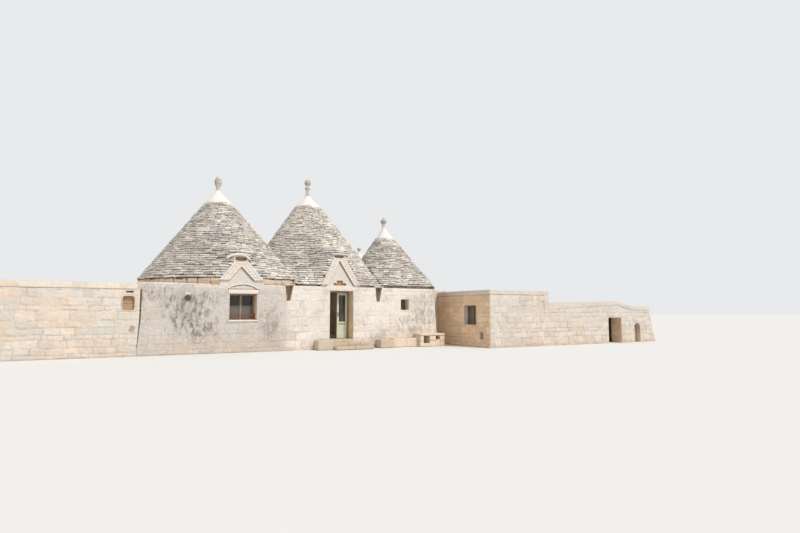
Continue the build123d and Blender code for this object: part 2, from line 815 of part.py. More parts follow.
with BuildPart() as wing_front_wall:
    wing_long_wall((wing_front, wing_front + wing_wall))
    opening(wing_door_x, wing_door_width, (wing_front, wing_front + wing_wall), (0, wing_door_height))
    opening(wing_niche_x, wing_niche_width, (wing_front, wing_front + wing_niche_depth),
            (0, wing_niche_height - wing_niche_width / 2))
    with BuildSketch(Plane.XZ.offset(-wing_front)):
        with Locations((wing_niche_x, wing_niche_height - wing_niche_width / 2)):
            Circle(wing_niche_width / 2)
    extrude(amount=-wing_niche_depth, mode=Mode.SUBTRACT)
export(wing_front_wall, "wing_front_wall")

with BuildPart() as wing_rear_walls:
    wing_long_wall((wing_back - wing_wall, wing_back))
    front_prism([(wing_right - wing_wall, 0), (wing_right + wing_end_batter, 0),
                 (wing_right, wing_low - wing_roof_thickness),
                 (wing_right - wing_wall, wing_low - wing_roof_thickness)],
                (wing_front + wing_wall, wing_back - wing_wall))
export(wing_rear_walls, "wing_rear_walls")

with BuildPart() as wing_roof:
    ends = (wing_left - roof_overhang, wing_right + roof_overhang)
    underside = wing_profile(wing_roof_thickness, ends[0], wing_step - wing_upstand, ends[1])
    front_prism(wing_profile(0, ends[0], wing_step, ends[1]) + underside[::-1],
                (wing_front - roof_overhang, wing_back))
export(wing_roof, "wing_roof")
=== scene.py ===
"""Trullo house: the stones, plaster, timber and glass that dress the house frame, in metres.

The origin is on the ground under the middle of the door, +X runs right along the front, +Y into the house.
"""

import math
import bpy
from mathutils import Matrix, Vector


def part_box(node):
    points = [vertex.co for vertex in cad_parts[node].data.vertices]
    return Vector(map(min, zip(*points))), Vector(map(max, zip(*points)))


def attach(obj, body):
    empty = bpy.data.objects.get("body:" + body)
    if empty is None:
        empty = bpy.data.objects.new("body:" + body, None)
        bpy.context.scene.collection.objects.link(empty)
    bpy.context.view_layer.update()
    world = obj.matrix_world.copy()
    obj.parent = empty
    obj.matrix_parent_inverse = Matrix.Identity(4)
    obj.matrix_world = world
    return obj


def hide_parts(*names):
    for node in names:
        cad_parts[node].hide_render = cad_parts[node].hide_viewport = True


bl_info = {
    "name": "Trullo House",
    "version": (1, 0, 0),
    "blender": (4, 5, 0),
    "location": "View3D > Sidebar > Trullo",
    "description": "Lays the stones, plaster, timber and glass of a trullo house",
    "category": "Add Mesh",
}

from types import SimpleNamespace as Sizes

import bpy
import numpy as np
from bpy.props import FloatProperty, FloatVectorProperty, PointerProperty

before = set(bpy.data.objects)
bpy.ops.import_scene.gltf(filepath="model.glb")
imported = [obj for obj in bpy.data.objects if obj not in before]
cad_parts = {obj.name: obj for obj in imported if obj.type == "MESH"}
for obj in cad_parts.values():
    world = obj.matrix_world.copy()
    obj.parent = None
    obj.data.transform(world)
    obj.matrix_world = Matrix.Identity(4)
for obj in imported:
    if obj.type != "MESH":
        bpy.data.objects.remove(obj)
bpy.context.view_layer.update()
HOUSE = "house"

# Levels and planes read from the frame
(A_LEFT, _, GROUND), (AB_LEFT, _, WALL_TOP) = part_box("front_wall_a")
B_LEFT, DOOR_LEFT = (corner.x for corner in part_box("front_wall_b_left"))
DOOR_RIGHT, B_RIGHT = (corner.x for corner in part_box("front_wall_b_right"))
C_LEFT, C_RIGHT = (corner.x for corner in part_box("front_wall_c"))
FLOOR_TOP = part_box("house_floors")[1].z

# The four cones: middle of the plan circle, radius, eave level, level and radius under the cap, lean along X,
# radius of the room, height and bend of the cap, tone of the slabs, finish of the wall head, X of the valleys
# beside it, and from where to where the lower slabs are drawn forward to the front line
AB_VALLEY, BC_VALLEY, NONE = -2.02, 1.935, math.inf
CONES = [
    Sizes(name="a", x=-4.16, y=3.30, radius=3.30, eave=2.79, top=6.17, top_radius=0.560, lean=-0.24,
          room=1.75, cap=0.62, bend=1.08, tone=-0.08, head="drum", valleys=(-NONE, AB_VALLEY),
          squared=(-4.16, AB_VALLEY)),
    # Cones b and c take wall heads darkened as painted shade under their eaves
    Sizes(name="b", x=-0.03, y=3.39, radius=3.39, eave=2.62, top=6.44, top_radius=0.600, lean=-0.26,
          room=1.60, cap=0.60, bend=1.25, tone=0.06, head="dark_head", valleys=(AB_VALLEY, BC_VALLEY),
          squared=(AB_VALLEY, BC_VALLEY)),
    Sizes(name="c", x=3.45, y=2.25, radius=2.25, eave=2.65, top=5.04, top_radius=0.450, lean=-0.23,
          room=1.15, cap=0.60, bend=1.5, tone=-0.04, head="dark_head", valleys=(BC_VALLEY, NONE),
          squared=(BC_VALLEY, 4.62)),
    Sizes(name="d", x=4.05, y=7.00, radius=2.00, eave=2.60, top=4.45, top_radius=0.400, lean=0.06,
          room=1.15, cap=0.48, bend=1.15, tone=0.0, head="drum", valleys=(-NONE, NONE), squared=None),
]
CAP_TIP = 0.08

# Gables: middle of the foot and of the top, half width at the foot, foot level, half width and apex of the
# pointed wall, half shoulder, foot of the slot and the power that rounds it, top of the wall, and the hood's
# thickness, reach and bow left and right of its crown, and how far right of the top's middle the crown stands
GABLES = [
    Sizes(name="window", cone="a", x=-4.11, top_x=-4.15, half=0.84, foot=2.70, wall=0.46, apex=3.215,
          shoulder=0.27, slope_top=3.41, power=2.3, top=3.63, hood=0.105, reach=(0.48, 0.40),
          bow=(0.70, 1.25), crown=-0.06),
    Sizes(name="door", cone="b", x=-0.055, top_x=-0.14, half=0.86, foot=2.615, wall=0.5875, apex=3.63,
          shoulder=0.26, slope_top=3.74, power=3.6, top=3.885, hood=0.06, reach=(0.34, 0.32),
          bow=(0.2, 0.2), crown=0.0),
]
NICHE_X = -0.09


# Numbers for the mesh work

def srgb(red, green, blue):
    """A colour given as it is seen, 0 to 255, turned to the light values that a shader takes."""
    seen = np.array([red, green, blue]) / 255
    light = np.where(seen <= 0.04045, seen / 12.92, ((seen + 0.055) / 1.055) ** 2.4)
    return tuple(float(v) for v in light) + (1.0,)


def grid_quads(rows, columns, wrap_rows=False, wrap_columns=False):
    """Corner numbers of every cell of a grid of points that are numbered row by row."""
    row, column = np.meshgrid(np.arange(rows if wrap_rows else rows - 1),
                              np.arange(columns if wrap_columns else columns - 1), indexing="ij")
    next_row, next_column = (row + 1) % rows, (column + 1) % columns
    corners = [row * columns + column, row * columns + next_column,
               next_row * columns + next_column, next_row * columns + column]
    return np.stack(corners, axis=-1).reshape(-1, 4)


def full_turn(count):
    """Angles that stand evenly round a full turn."""
    return np.arange(count) * 2 * math.pi / count


def xyz(x, y, z):
    """Points from their three coordinates, each an array or one number."""
    return np.stack(np.broadcast_arrays(x, y, z), axis=-1)


def joined(parts):
    """One mesh from several, each given as points, faces and fields. The corner numbers of each move on by
    the points that come before it."""
    points, quads, fields = zip(*parts)
    points = [each.reshape(-1, 3) for each in points]
    starts = np.cumsum([0] + [len(each) for each in points[:-1]])
    return (np.concatenate(points), np.concatenate([faces + start for faces, start in zip(quads, starts)]),
            {key: np.concatenate([given[key] for given in fields]) for key in fields[0]})


def repeat_quads(quads, count, points_each):
    """The same faces for each of many stones whose points follow one another."""
    return (quads[None] + np.arange(count)[:, None, None] * points_each).reshape(-1, 4)


def smooth_noise(points, scale, seed):
    """A sum of sine waves in random directions, from about -1 to 1: one value for each point. Four waves have
    the scale's length, four half of it and half the height, and four a quarter of both."""
    rng = np.random.default_rng(seed)
    total, weight = np.zeros(points.shape[:-1]), 0.0
    for octave in range(3):
        for _ in range(4):
            direction = rng.normal(size=3)
            direction *= 2 * math.pi * 2 ** octave / scale / np.linalg.norm(direction)
            total = total + np.sin(points @ direction + rng.uniform(0, 2 * math.pi)) / 2 ** octave
            weight += 0.6 / 2 ** octave
    return total / weight


# Pieces

def even(points, tone):
    """The fields of points of one tone that are far from any joint."""
    return {"tone": np.full(len(points), tone), "edge": np.ones(len(points))}


def make_piece(name, shape, finish, body=HOUSE, replaces=(), smooth=False, tone=None):
    """Puts points and four-cornered faces into a mesh, with one value per point for each named field. A shape
    is (points, faces) or (points, faces, fields). A plain tone gives the fields of a piece without joints."""
    points, quads, *fields = shape
    points = np.asarray(points, float).reshape(-1, 3)
    mesh = bpy.data.meshes.new(name)
    mesh.from_pydata(points.tolist(), [], np.asarray(quads).tolist())
    if tone is not None:
        fields = [even(points, tone)]
    for field, values in (fields[0] if fields else {}).items():
        attribute = mesh.attributes.new(field, "FLOAT", "POINT")
        attribute.data.foreach_set("value", np.asarray(values, np.float32).ravel())
    mesh.materials.append(material(finish))
    mesh.polygons.foreach_set("use_smooth", [smooth] * len(mesh.polygons))
    mesh.update()
    piece = bpy.data.objects.new(name, mesh)
    bpy.context.scene.collection.objects.link(piece)
    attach(piece, body)
    if replaces:
        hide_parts(*replaces)


def finish_nodes(finish, *nodes):
    """Gives nodes of the frame their material."""
    for node in nodes:
        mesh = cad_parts[node].data
        mesh.materials.clear()
        mesh.materials.append(material(finish))


# Shader building

def feed(node, inputs):
    """Gives a node its inputs, each a plain value or the output of another node."""
    for key, value in inputs.items():
        if isinstance(value, bpy.types.NodeSocket):
            node.id_data.links.new(value, node.inputs[key])
        else:
            node.inputs[key].default_value = value


def shader_node(kind, inputs, tree=None, **settings):
    """The outputs of a new shader node with its inputs and settings, in a given tree or else in the tree that
    an input comes from."""
    if tree is None:
        tree = next(value.id_data for value in inputs.values() if isinstance(value, bpy.types.NodeSocket))
    made = tree.nodes.new("ShaderNode" + kind)
    for key, value in settings.items():
        setattr(made, key, value)
    feed(made, inputs)
    return made.outputs


def maths(operation, first, second):
    """The result of one sum on two values."""
    return shader_node("Math", {0: first, 1: second}, operation=operation)[0]


def times(first, second):
    """One value multiplied by another."""
    return maths("MULTIPLY", first, second)


def plus(first, second):
    """Two values added."""
    return maths("ADD", first, second)


def swing(value, middle, amount):
    """How far a value lies over a middle, times an amount."""
    return times(maths("SUBTRACT", value, middle), amount)


def blend_colour(share, first, second, kind="MIX"):
    """A colour between two colours."""
    return shader_node("Mix", {0: share, 6: first, 7: second}, data_type="RGBA", blend_type=kind)[2]


def lit(colour, level):
    """A colour times one brightness."""
    grey = shader_node("CombineColor", {0: level, 1: level, 2: level})[0]
    return blend_colour(1.0, colour, grey, "MULTIPLY")


def ramp(value, low, high, result_low=0.0, result_high=1.0):
    """A value from one range brought to another, and held at its ends."""
    return shader_node("MapRange", {"Value": value, "From Min": low, "From Max": high,
                                    "To Min": result_low, "To Max": result_high})[0]


def new_group(name, inputs, outputs):
    """An empty shader group, its end node, and its input values. An input is a kind of socket, or the default
    of a number."""
    tree = bpy.data.node_groups.new(name, "ShaderNodeTree")
    for label, given in inputs.items():
        kind = given if isinstance(given, str) else FLOAT
        socket = tree.interface.new_socket(label, in_out="INPUT", socket_type=kind)
        if given is not kind:
            socket.default_value = given
    for label, kind in outputs.items():
        tree.interface.new_socket(label, in_out="OUTPUT", socket_type=kind)
    given = tree.nodes.new("NodeGroupInput").outputs
    return tree, tree.nodes.new("NodeGroupOutput"), *given[:len(inputs)]


def noise(place, scale, detail, roughness=0.55, distortion=0.0):
    """Cloudy noise, from 0 to 1, at a place."""
    return shader_node("TexNoise", {"Vector": place, "Scale": scale, "Detail": detail,
                                    "Roughness": roughness, "Distortion": distortion})[0]


def stretched(place, scale):
    """A place with each axis scaled by itself."""
    return shader_node("Mapping", {"Vector": place, "Scale": scale})[0]


def axes(place):
    """The X, Y and Z of a place."""
    return shader_node("SeparateXYZ", {0: place})


FLOAT, COLOUR, VECTOR = "NodeSocketFloat", "NodeSocketColor", "NodeSocketVector"


def grain_group():
    """Stone grain: mottled brightness, pits and a height for the bump."""
    tree, result, place, colour, size, contrast, depth = new_group(
        "Stone grain",
        {"Place": VECTOR, "Colour": COLOUR, "Size": 9.0, "Contrast": 0.25, "Pits": 0.4},
        {"Colour": COLOUR, "Height": FLOAT})
    coarse = noise(place, size, 5.0, 0.62)
    fine = noise(place, times(size, 7.0), 3.0, 0.6)
    both = plus(times(coarse, 0.62), times(fine, 0.38))
    level = plus(1.0, times(swing(both, 0.5, contrast), 4.0))
    pits = ramp(fine, 0.30, 0.42)
    dip = plus(swing(pits, 1.0, depth), 1.0)
    feed(result, {"Colour": lit(colour, times(level, dip)), "Height": plus(both, times(pits, 0.5))})
    return tree


def lichen_group():
    """Grey-black lichen: ragged patches that gather where a large cloud of noise is high."""
    tree, result, place, colour, lichen, size, cover, strength = new_group(
        "Lichen",
        {"Place": VECTOR, "Colour": COLOUR, "Lichen": COLOUR, "Size": 2.0, "Cover": 0.5, "Strength": 0.6},
        {"Colour": COLOUR})
    cloud = noise(place, times(size, 0.35), 2.0, 0.5)
    ragged = noise(place, size, 8.0, 0.7, 0.6)
    both = plus(times(cloud, 0.55), times(ragged, 0.45))
    edge = maths("SUBTRACT", 0.72, times(cover, 0.4))
    mask = ramp(maths("SUBTRACT", both, edge), -0.03, 0.09)
    feed(result, {"Colour": blend_colour(times(mask, strength), colour, lichen)})
    return tree


def laying_group():
    """How one stone differs from the next, from its own tone, and how its joint edges darken; on the roof
    slabs, wall heads and pinnacles the same darkening is painted shade.
    """
    tree, result, colour, warm, joint, tone, edge, spread, warmth = new_group(
        "Laying",
        {"Colour": COLOUR, "Warm": COLOUR, "Joint": COLOUR, "Tone": 0.5, "Edge": 1.0, "Spread": 0.3,
         "Warmth": 0.3},
        {"Colour": COLOUR})
    share = times(maths("PINGPONG", times(tone, 7.3), 1.0), warmth)
    colour = blend_colour(share, colour, warm)
    colour = lit(colour, plus(1.0, swing(tone, 0.5, spread)))
    feed(result, {"Colour": blend_colour(edge, joint, colour)})
    return tree


def paint_group():
    """Old paint on timber: brush streaks along Z, and worn specks that show the wood."""
    tree, result, place, paint, wood, wear = new_group(
        "Old paint",
        {"Place": VECTOR, "Paint": COLOUR, "Wood": COLOUR, "Wear": 0.3},
        {"Colour": COLOUR, "Height": FLOAT})
    streaks = noise(stretched(place, (38.0, 38.0, 2.2)), 1.0, 4.0, 0.6)
    painted = lit(paint, ramp(streaks, 0.25, 0.75, 0.86, 1.08))
    chips = noise(stretched(place, (14.0, 14.0, 5.0)), 1.6, 6.0, 0.7, 0.4)
    worn = ramp(plus(chips, times(wear, 0.25)), 0.72, 0.78)
    feed(result, {"Colour": blend_colour(worn, painted, wood), "Height": maths("SUBTRACT", streaks, worn)})
    return tree


GROUPS = {}


def group(build, inputs):
    """A shader group, built when it is first asked for, placed in a material with the finish's own values."""
    if build not in GROUPS:
        GROUPS[build] = build()
    return shader_node("Group", inputs, node_tree=GROUPS[build])


def new_material(name, roughness=0.9, mirror=0.25):
    """A material with its Principled shader, and the place that its patterns are read at."""
    made = bpy.data.materials.new(name)
    made.use_nodes = True
    shader = made.node_tree.nodes["Principled BSDF"]
    feed(shader, {"Roughness": roughness, "Specular IOR Level": mirror})
    return made, shader, made.node_tree.nodes.new("ShaderNodeTexCoord").outputs["Object"]


def field(place, name):
    """One of the values that a piece's mesh holds for each point."""
    return shader_node("Attribute", {}, place.id_data, attribute_name=name)["Fac"]


def bumped(shader, colour, height, strength, distance):
    """Feeds a colour to the shader, and a height to its normal."""
    made = shader_node("Bump", {"Height": height, "Strength": strength, "Distance": distance})
    feed(shader, {"Base Color": colour, "Normal": made[0]})


def stone_finish(name, colour, warm, joint, lichen, cover=0.5, strength=0.5, spread=0.3, warmth=0.4,
                 grain=9.0, contrast=0.2, laid=True, stain=None, relief=0.012):
    """Limestone or limewash: stone by stone tone, patches of warm colour, lichen, grain and bump."""
    made, shader, place = new_material(name)
    colour, warm, joint, lichen = (main_colour(each) for each in (colour, warm, joint, lichen))
    tone, edge = (field(place, "tone"), field(place, "edge")) if laid else (0.5, 1.0)
    patches = ramp(noise(place, 0.75, 3.0, 0.5), 0.42, 0.66)
    base = blend_colour(times(patches, warmth), colour, warm)
    tinted = group(laying_group, {"Colour": base, "Warm": warm, "Joint": joint, "Tone": tone, "Edge": edge,
                                  "Spread": spread, "Warmth": warmth})["Colour"]
    tinted = group(lichen_group, {"Place": place, "Colour": tinted, "Lichen": lichen, "Size": 2.6,
                                  "Cover": cover, "Strength": strength})["Colour"]
    if stain:
        tinted = stain(place, tinted)
    rough = group(grain_group, {"Place": place, "Colour": tinted, "Size": grain, "Contrast": contrast,
                                "Pits": 0.18})
    bumped(shader, rough["Colour"], rough["Height"], 0.7, relief)
    return made


def reach(place, middle, spread):
    """A soft blob, 1 at its middle and 0 past its spread, with a ragged rim."""
    ragged = noise(place, 3.1, 6.0, 0.65, 0.3)
    moved = shader_node("VectorMath", {0: place, 1: middle}, operation="SUBTRACT")[0]
    shares = tuple(1 / s for s in spread)
    scaled = shader_node("VectorMath", {0: moved, 1: shares}, operation="MULTIPLY")[0]
    length = shader_node("VectorMath", {0: scaled}, operation="LENGTH")["Value"]
    return ramp(plus(length, swing(ragged, 0.5, 2.4)), 0.55, 1.05, 1.0, 0.0)


def low_soil(place, colour, top, share, soil):
    """Earth colour on the lowest part of a wall, fading upwards."""
    low = ramp(axes(place)["Z"], 0.05, top, 1.0, 0.0)
    mask = times(low, ramp(noise(place, 2.2, 5.0, 0.6), 0.35, 0.7))
    return blend_colour(times(mask, share), colour, srgb(*soil))


def patches_at(place, colour, blobs, other):
    """Blobs of another colour, each broken up by noise: middle, spread and share."""
    breakup = ramp(noise(stretched(place, (5.4, 5.4, 2.6)), 1.4, 7.0, 0.7), 0.45, 0.59)
    for middle, spread, share in blobs:
        patch = times(reach(place, middle, spread), share)
        colour = blend_colour(times(patch, breakup), colour, srgb(*other))
    return colour


def front_stains(place, colour):
    """The grey weathering of the left front, and the warm bare stone near the ground."""
    blobs = (((-6.0, 0, 1.5), (0.9, 0.8, 0.9), 0.8), ((-5.5, 0, 0.9), (0.7, 0.8, 0.6), 0.7),
             ((-7.1, 0, 2.1), (0.7, 0.8, 0.35), 0.7), ((-5.2, 0, 2.0), (0.6, 0.8, 0.3), 0.65),
             ((-3.0, 0, 1.1), (0.6, 0.8, 0.7), 0.5), ((3.9, 0, 1.2), (0.8, 0.8, 0.8), 0.5),
             ((3.0, 0, 0.9), (0.6, 0.8, 0.5), 0.4), ((4.3, 0, 2.0), (0.5, 0.8, 0.5), 0.4))
    at = axes(place)
    left = times(ramp(at["X"], -2.7, -2.0, 1.0, 0.0), ramp(at["Z"], 2.36, 2.44, 1.0, 0.45))
    colour = blend_colour(times(left, 0.50), colour, srgb(170, 162, 155))
    colour = patches_at(place, colour, blobs, (122, 113, 108))
    return low_soil(place, colour, 0.8, 0.55, (206, 172, 142))


def ground_stains(place, colour):
    """Earth colour thrown up on the lowest courses."""
    return low_soil(place, colour, 0.6, 0.5, (202, 168, 136))


def annex_stains(place, colour):
    """Orange bare stone in patches, and below the niche a grey patch of painted shade that stands for a small
    dark hole.
    """
    blobs = (((-9.6, 0, 1.2), (0.9, 0.8, 0.25), 0.5), ((-11.0, 0, 1.9), (1.0, 0.8, 0.3), 0.5),
             ((-8.9, 0, 0.5), (0.6, 0.8, 0.25), 0.5), ((-11.6, 0, 0.7), (1.0, 0.8, 0.3), 0.4))
    colour = patches_at(place, colour, blobs, (224, 188, 156))
    # Painted shade: the darkness of a small hole, painted as a grey patch on the flat face
    painted_hole_shade = times(reach(place, (-7.79, 0, 0.93), (0.11, 0.8, 0.16)), 1.5)
    colour = blend_colour(maths("MINIMUM", painted_hole_shade, 0.75), colour, srgb(160, 140, 122))
    return low_soil(place, colour, 0.5, 0.4, (206, 172, 142))


MATERIALS = {}


def material(name):
    """The material of that name, made when it is first asked for."""
    if name not in MATERIALS:
        MATERIALS[name] = (stone_finish(*STONES[name][:5], **STONES[name][5]) if name in STONES
                           else painted_wood(*PAINTED[name]) if name in PAINTED else mottled(*MOTTLED[name]))
    return MATERIALS[name]


def settings():
    """What the user has set for the house."""
    return bpy.context.scene.trullo


def main_colour(given):
    """A main colour as a shader takes it: the name of a colour setting, or a seen colour."""
    return tuple(getattr(settings().colours, given)) + (1.0,) if isinstance(given, str) else srgb(*given)


# Stone finishes: name, colour or colour setting, warm patches, joints and lichen, as seen colours, and the
# values that differ from the usual ones
STONES = {
    "roof": ("Roof slabs", "slab", (224, 204, 182), (112, 102, 94), (156, 149, 142), dict(
        strength=0.36, spread=0.75, warmth=0.22, grain=13.0, contrast=0.26)),
    # Painted shade: the bed is dark so that the gaps between the slabs and the valley line read as shade
    "bed": ("Roof bedding", (120, 108, 96), (140, 116, 92), (84, 74, 66), (90, 84, 78), dict(laid=False)),
    "drum": ("Warm wall head", (217, 199, 178), (210, 180, 152), (186, 162, 140), (186, 176, 164), dict(
        cover=0.35, strength=0.35, spread=0.12, warmth=0.5)),
    # Painted shade: the wall head under the eaves of b and c is darkened for the shade under the slabs
    "dark_head": ("Dark wall head", (146, 130, 114), (152, 126, 102), (92, 80, 70), (112, 102, 92), dict(
        cover=0.35, strength=0.35, spread=0.2, warmth=0.5)),
    "plaster": ("Lime plaster", "plaster", (238, 230, 218), (220, 212, 202), (214, 209, 202), dict(
        cover=0.36, strength=0.25, laid=False, warmth=0.2, grain=7.0, contrast=0.04, relief=0.006)),
    "limewash": ("Limewash", "limewash", (226, 208, 188), (158, 144, 130), (164, 156, 150), dict(
        strength=0.40, spread=0.16, warmth=0.30, grain=10.0, contrast=0.18, stain=front_stains)),
    "mortar": ("Limewashed joints", (222, 212, 198), (214, 192, 168), (160, 148, 134), (160, 152, 144), dict(
        cover=0.45, strength=0.4, laid=False, warmth=0.3, contrast=0.12, stain=front_stains)),
    "coping": ("Pale coping", (232, 222, 208), (226, 202, 174), (168, 154, 140), (168, 160, 152), dict(
        cover=0.45, strength=0.4, spread=0.15, warmth=0.35, grain=8.0, contrast=0.14)),
    "annex": ("Annex blocks", "annex", (228, 206, 182), (168, 148, 130), (190, 182, 172), dict(
        cover=0.35, strength=0.3, spread=0.16, warmth=0.5, grain=8.0, contrast=0.14, stain=annex_stains)),
    "wing": ("Wing blocks", "wing", (222, 200, 176), (160, 142, 124), (174, 166, 156), dict(
        cover=0.38, strength=0.3, spread=0.18, warmth=0.45, grain=8.0, contrast=0.14, stain=ground_stains)),
    "wing_side": ("Wing side", (232, 207, 176), (224, 184, 148), (166, 138, 110), (190, 172, 150), dict(
        cover=0.4, strength=0.3, spread=0.2, warmth=0.5, grain=8.0, contrast=0.15)),
    "rubble": ("Rubble", (206, 194, 178), (204, 172, 140), (148, 132, 116), (160, 152, 144), dict(
        strength=0.4, stain=ground_stains)),
    "cut": ("Dressed stone", (226, 220, 211), (224, 210, 194), (176, 156, 138), (196, 188, 178), dict(
        cover=0.34, strength=0.3, spread=0.14, warmth=0.35, grain=8.0, contrast=0.10)),
    "plain_cut": ("Dressed faces", (214, 207, 198), (214, 198, 182), (170, 150, 132), (186, 178, 168), dict(
        cover=0.4, strength=0.3, laid=False, warmth=0.35, contrast=0.12)),
    "lintel": ("Pale lintel", (226, 214, 204), (224, 206, 192), (200, 180, 160), (214, 204, 194), dict(
        cover=0.3, strength=0.2, spread=0.1, warmth=0.3, grain=7.0, contrast=0.06)),
    "jamb": ("Jamb stone", (238, 212, 184), (224, 184, 148), (156, 130, 106), (178, 166, 150), dict(
        cover=0.4, strength=0.3, spread=0.2, warmth=0.45)),
    "step": ("Step stone", (197, 183, 163), (199, 174, 145), (152, 132, 112), (176, 166, 154), dict(
        cover=0.4, strength=0.3, spread=0.16, warmth=0.45, grain=8.0, contrast=0.14)),
    "bench": ("Bench stone", (230, 214, 194), (224, 198, 170), (160, 140, 120), (184, 174, 160), dict(
        cover=0.4, strength=0.3, spread=0.16, grain=8.0, contrast=0.14)),
    "carved": ("Carved limestone", (204, 200, 188), (206, 194, 174), (104, 98, 90), (134, 130, 122), dict(
        spread=0.0, warmth=0.3, grain=16.0, contrast=0.18, relief=0.008)),
    "ochre": ("Ochre stain", (178, 134, 98), (192, 146, 104), (130, 90, 60), (130, 94, 70), dict(
        laid=False, warmth=0.5)),
    # Painted light: the warm sunlit line under the left gable band
    "painted_sunlit_line": ("Warm joint", (206, 172, 138), (204, 160, 120), (150, 120, 90), (170, 150, 130), dict(
        laid=False, warmth=0.5)),
    # Painted shadow: the crack's bottom, the line under the right gable band and the line under the window
    # label
    "shadow": ("Dark groove", (84, 72, 64), (96, 76, 62), (60, 52, 46), (70, 64, 58), dict(laid=False)),
    "shaded": ("Shaded stone", (190, 166, 140), (178, 140, 106), (120, 98, 80), (150, 136, 120), dict(
        cover=0.4, strength=0.3, spread=0.2, warmth=0.5)),
    # Painted shade: the party walls are darker than the fronts for the shade in the recesses and rooms
    "party": ("Party wall", (206, 192, 172), (204, 172, 140), (150, 132, 114), (150, 140, 128), dict(
        laid=False)),
    "screed": ("Roof screed", (218, 209, 198), (218, 200, 180), (160, 150, 140), (174, 166, 158), dict(
        strength=0.4, laid=False, warmth=0.35, grain=5.0, contrast=0.14)),
    "floor": ("Paving", (196, 184, 166), (190, 164, 138), (140, 128, 114), (150, 142, 132), dict(
        laid=False, contrast=0.14)),
}


# Painted timber: name, paint or paint setting, wood, as seen colours, and wear
PAINTED = {
    "green": ("Sage paint", "paint", (150, 128, 104), 0.15),
    # Frame paint: weathered green made darker still as painted shade for the lintels' shadow on the frame
    # heads
    "worn_green_in_painted_shade": ("Weathered paint", (152, 142, 122), (132, 104, 78), 0.45),
    "shutter": ("Dark shutters", (118, 106, 86), (92, 76, 60), 0.4),
    "brown": ("Red-brown wood", (128, 82, 64), (92, 62, 48), 0.35),
}


def painted_wood(name, paint, wood, wear):
    """Painted timber, with streaks along the boards and worn specks."""
    made, shader, place = new_material(name, 0.55)
    old = group(paint_group, {"Place": place, "Paint": main_colour(paint), "Wood": srgb(*wood), "Wear": wear})
    bumped(shader, old["Colour"], old["Height"], 0.4, 0.003)
    return made


def painted_ground_reflection(place):
    """Painted reflection: the lower half of the window, where the bright ground is painted into its old
    glass.
    """
    wavy = plus(axes(place)["Z"], times(noise(place, 6.0, 2.0), 0.03))
    return ramp(wavy, 1.775, 1.745)


def painted_reflection_streaks(place):
    """Faint upright streaks of painted reflection."""
    return ramp(noise(stretched(place, (26.0, 26.0, 1.2)), 1.0, 3.0, 0.6), 0.42, 0.66)


def rust(place):
    """Patches of rust."""
    return ramp(noise(place, 30.0, 6.0, 0.7), 0.4, 0.65)


# Glass and iron: name, roughness, mirror, pattern, the colours off and on it, as seen, and how metallic
MOTTLED = {
    # On the window glass the pattern is a painted reflection of the ground
    "glass": ("Old glass", 0.08, 0.5, painted_ground_reflection, (50, 43, 35), (112, 107, 98), 0.0),
    # On the door glass the pattern is painted reflection in upright streaks
    "door_glass": ("Door glass", 0.08, 0.5, painted_reflection_streaks, (34, 32, 30), (110, 100, 90), 0.0),
    "iron": ("Old iron", 0.6, 0.25, rust, (60, 56, 52), (112, 70, 46), 0.5),
}


def mottled(name, roughness, mirror, pattern, dark, pale, metallic):
    """A smooth finish of two colours."""
    made, shader, place = new_material(name, roughness, mirror)
    colour = blend_colour(pattern(place), srgb(*dark), srgb(*pale))
    feed(shader, {"Base Color": colour, "Metallic": metallic})
    return made


# Cone roofs

def rise_share(cone, level):
    """How high a level stands on a cone: 0 at its eave, 1 at the foot of its cap."""
    return (level - cone.eave) / (cone.top - cone.eave)


def cone_radius(cone, level):
    """Radius of a cone's face at a level: it falls evenly from the eave to the foot of the cap."""
    return cone.radius + rise_share(cone, level) * (cone.top_radius - cone.radius)


def cone_middle(cone, level):
    """X of a cone's axis at a level: the axis leans evenly above the eave."""
    return cone.x + cone.lean * np.maximum(rise_share(cone, level), 0.0)


def round_axis(cone, turn, radius, level):
    """Points at an angle, a radius and a level round a cone's leaning axis."""
    return xyz(cone_middle(cone, level) + radius * np.cos(turn), cone.y + radius * np.sin(turn), level)


def inside_other_cone(cone, points, margin):
    """True where a point on one cone lies under the face of another cone."""
    hidden = np.zeros(len(points), bool)
    x, y, level = points.T
    for other in CONES:
        if other is not cone:
            away = np.hypot(x - cone_middle(other, level), y - other.y)
            hidden |= (away < cone_radius(other, level) - margin) & (level > other.eave - 0.2)
    return hidden


def gables_of(cone):
    """The gables that stand before one cone."""
    return [gable for gable in GABLES if gable.cone == cone.name]


def under_gable(cone, points, margin):
    """True where a point on the front of a cone lies inside a gable's outline."""
    hidden = np.zeros(len(points), bool)
    x, y, level = points.T
    for gable in gables_of(cone):
        hidden |= (beside_gable(gable, x, level) < -margin) & (level < gable.top - 0.03) & (y < CONE_FRONT)
    return hidden


def gable_line(gable, x, level):
    """How far a point stands right of a gable's middle line, and half the gable's width at its level. Both
    lines run evenly from the foot of the gable to the foot of its slot."""
    share = np.clip((level - gable.foot) / (gable.slope_top - gable.foot), 0, 1)
    half = gable.half + share * (gable.shoulder - gable.half)
    return x - gable.x - share * (gable.top_x - gable.x), half


def beside_gable(gable, x, level):
    """How far a point stands outside a gable's outline, along X; less than nothing inside it."""
    aside, half = gable_line(gable, x, level)
    return np.abs(aside) - half


# How far up and beside a valley the slabs fade from the front line back to their circle, and how far beside
# a gable they fade from its face
EAVE_FADE, VALLEY_FADE, GABLE_FADE = 1.25, 0.25, 0.65


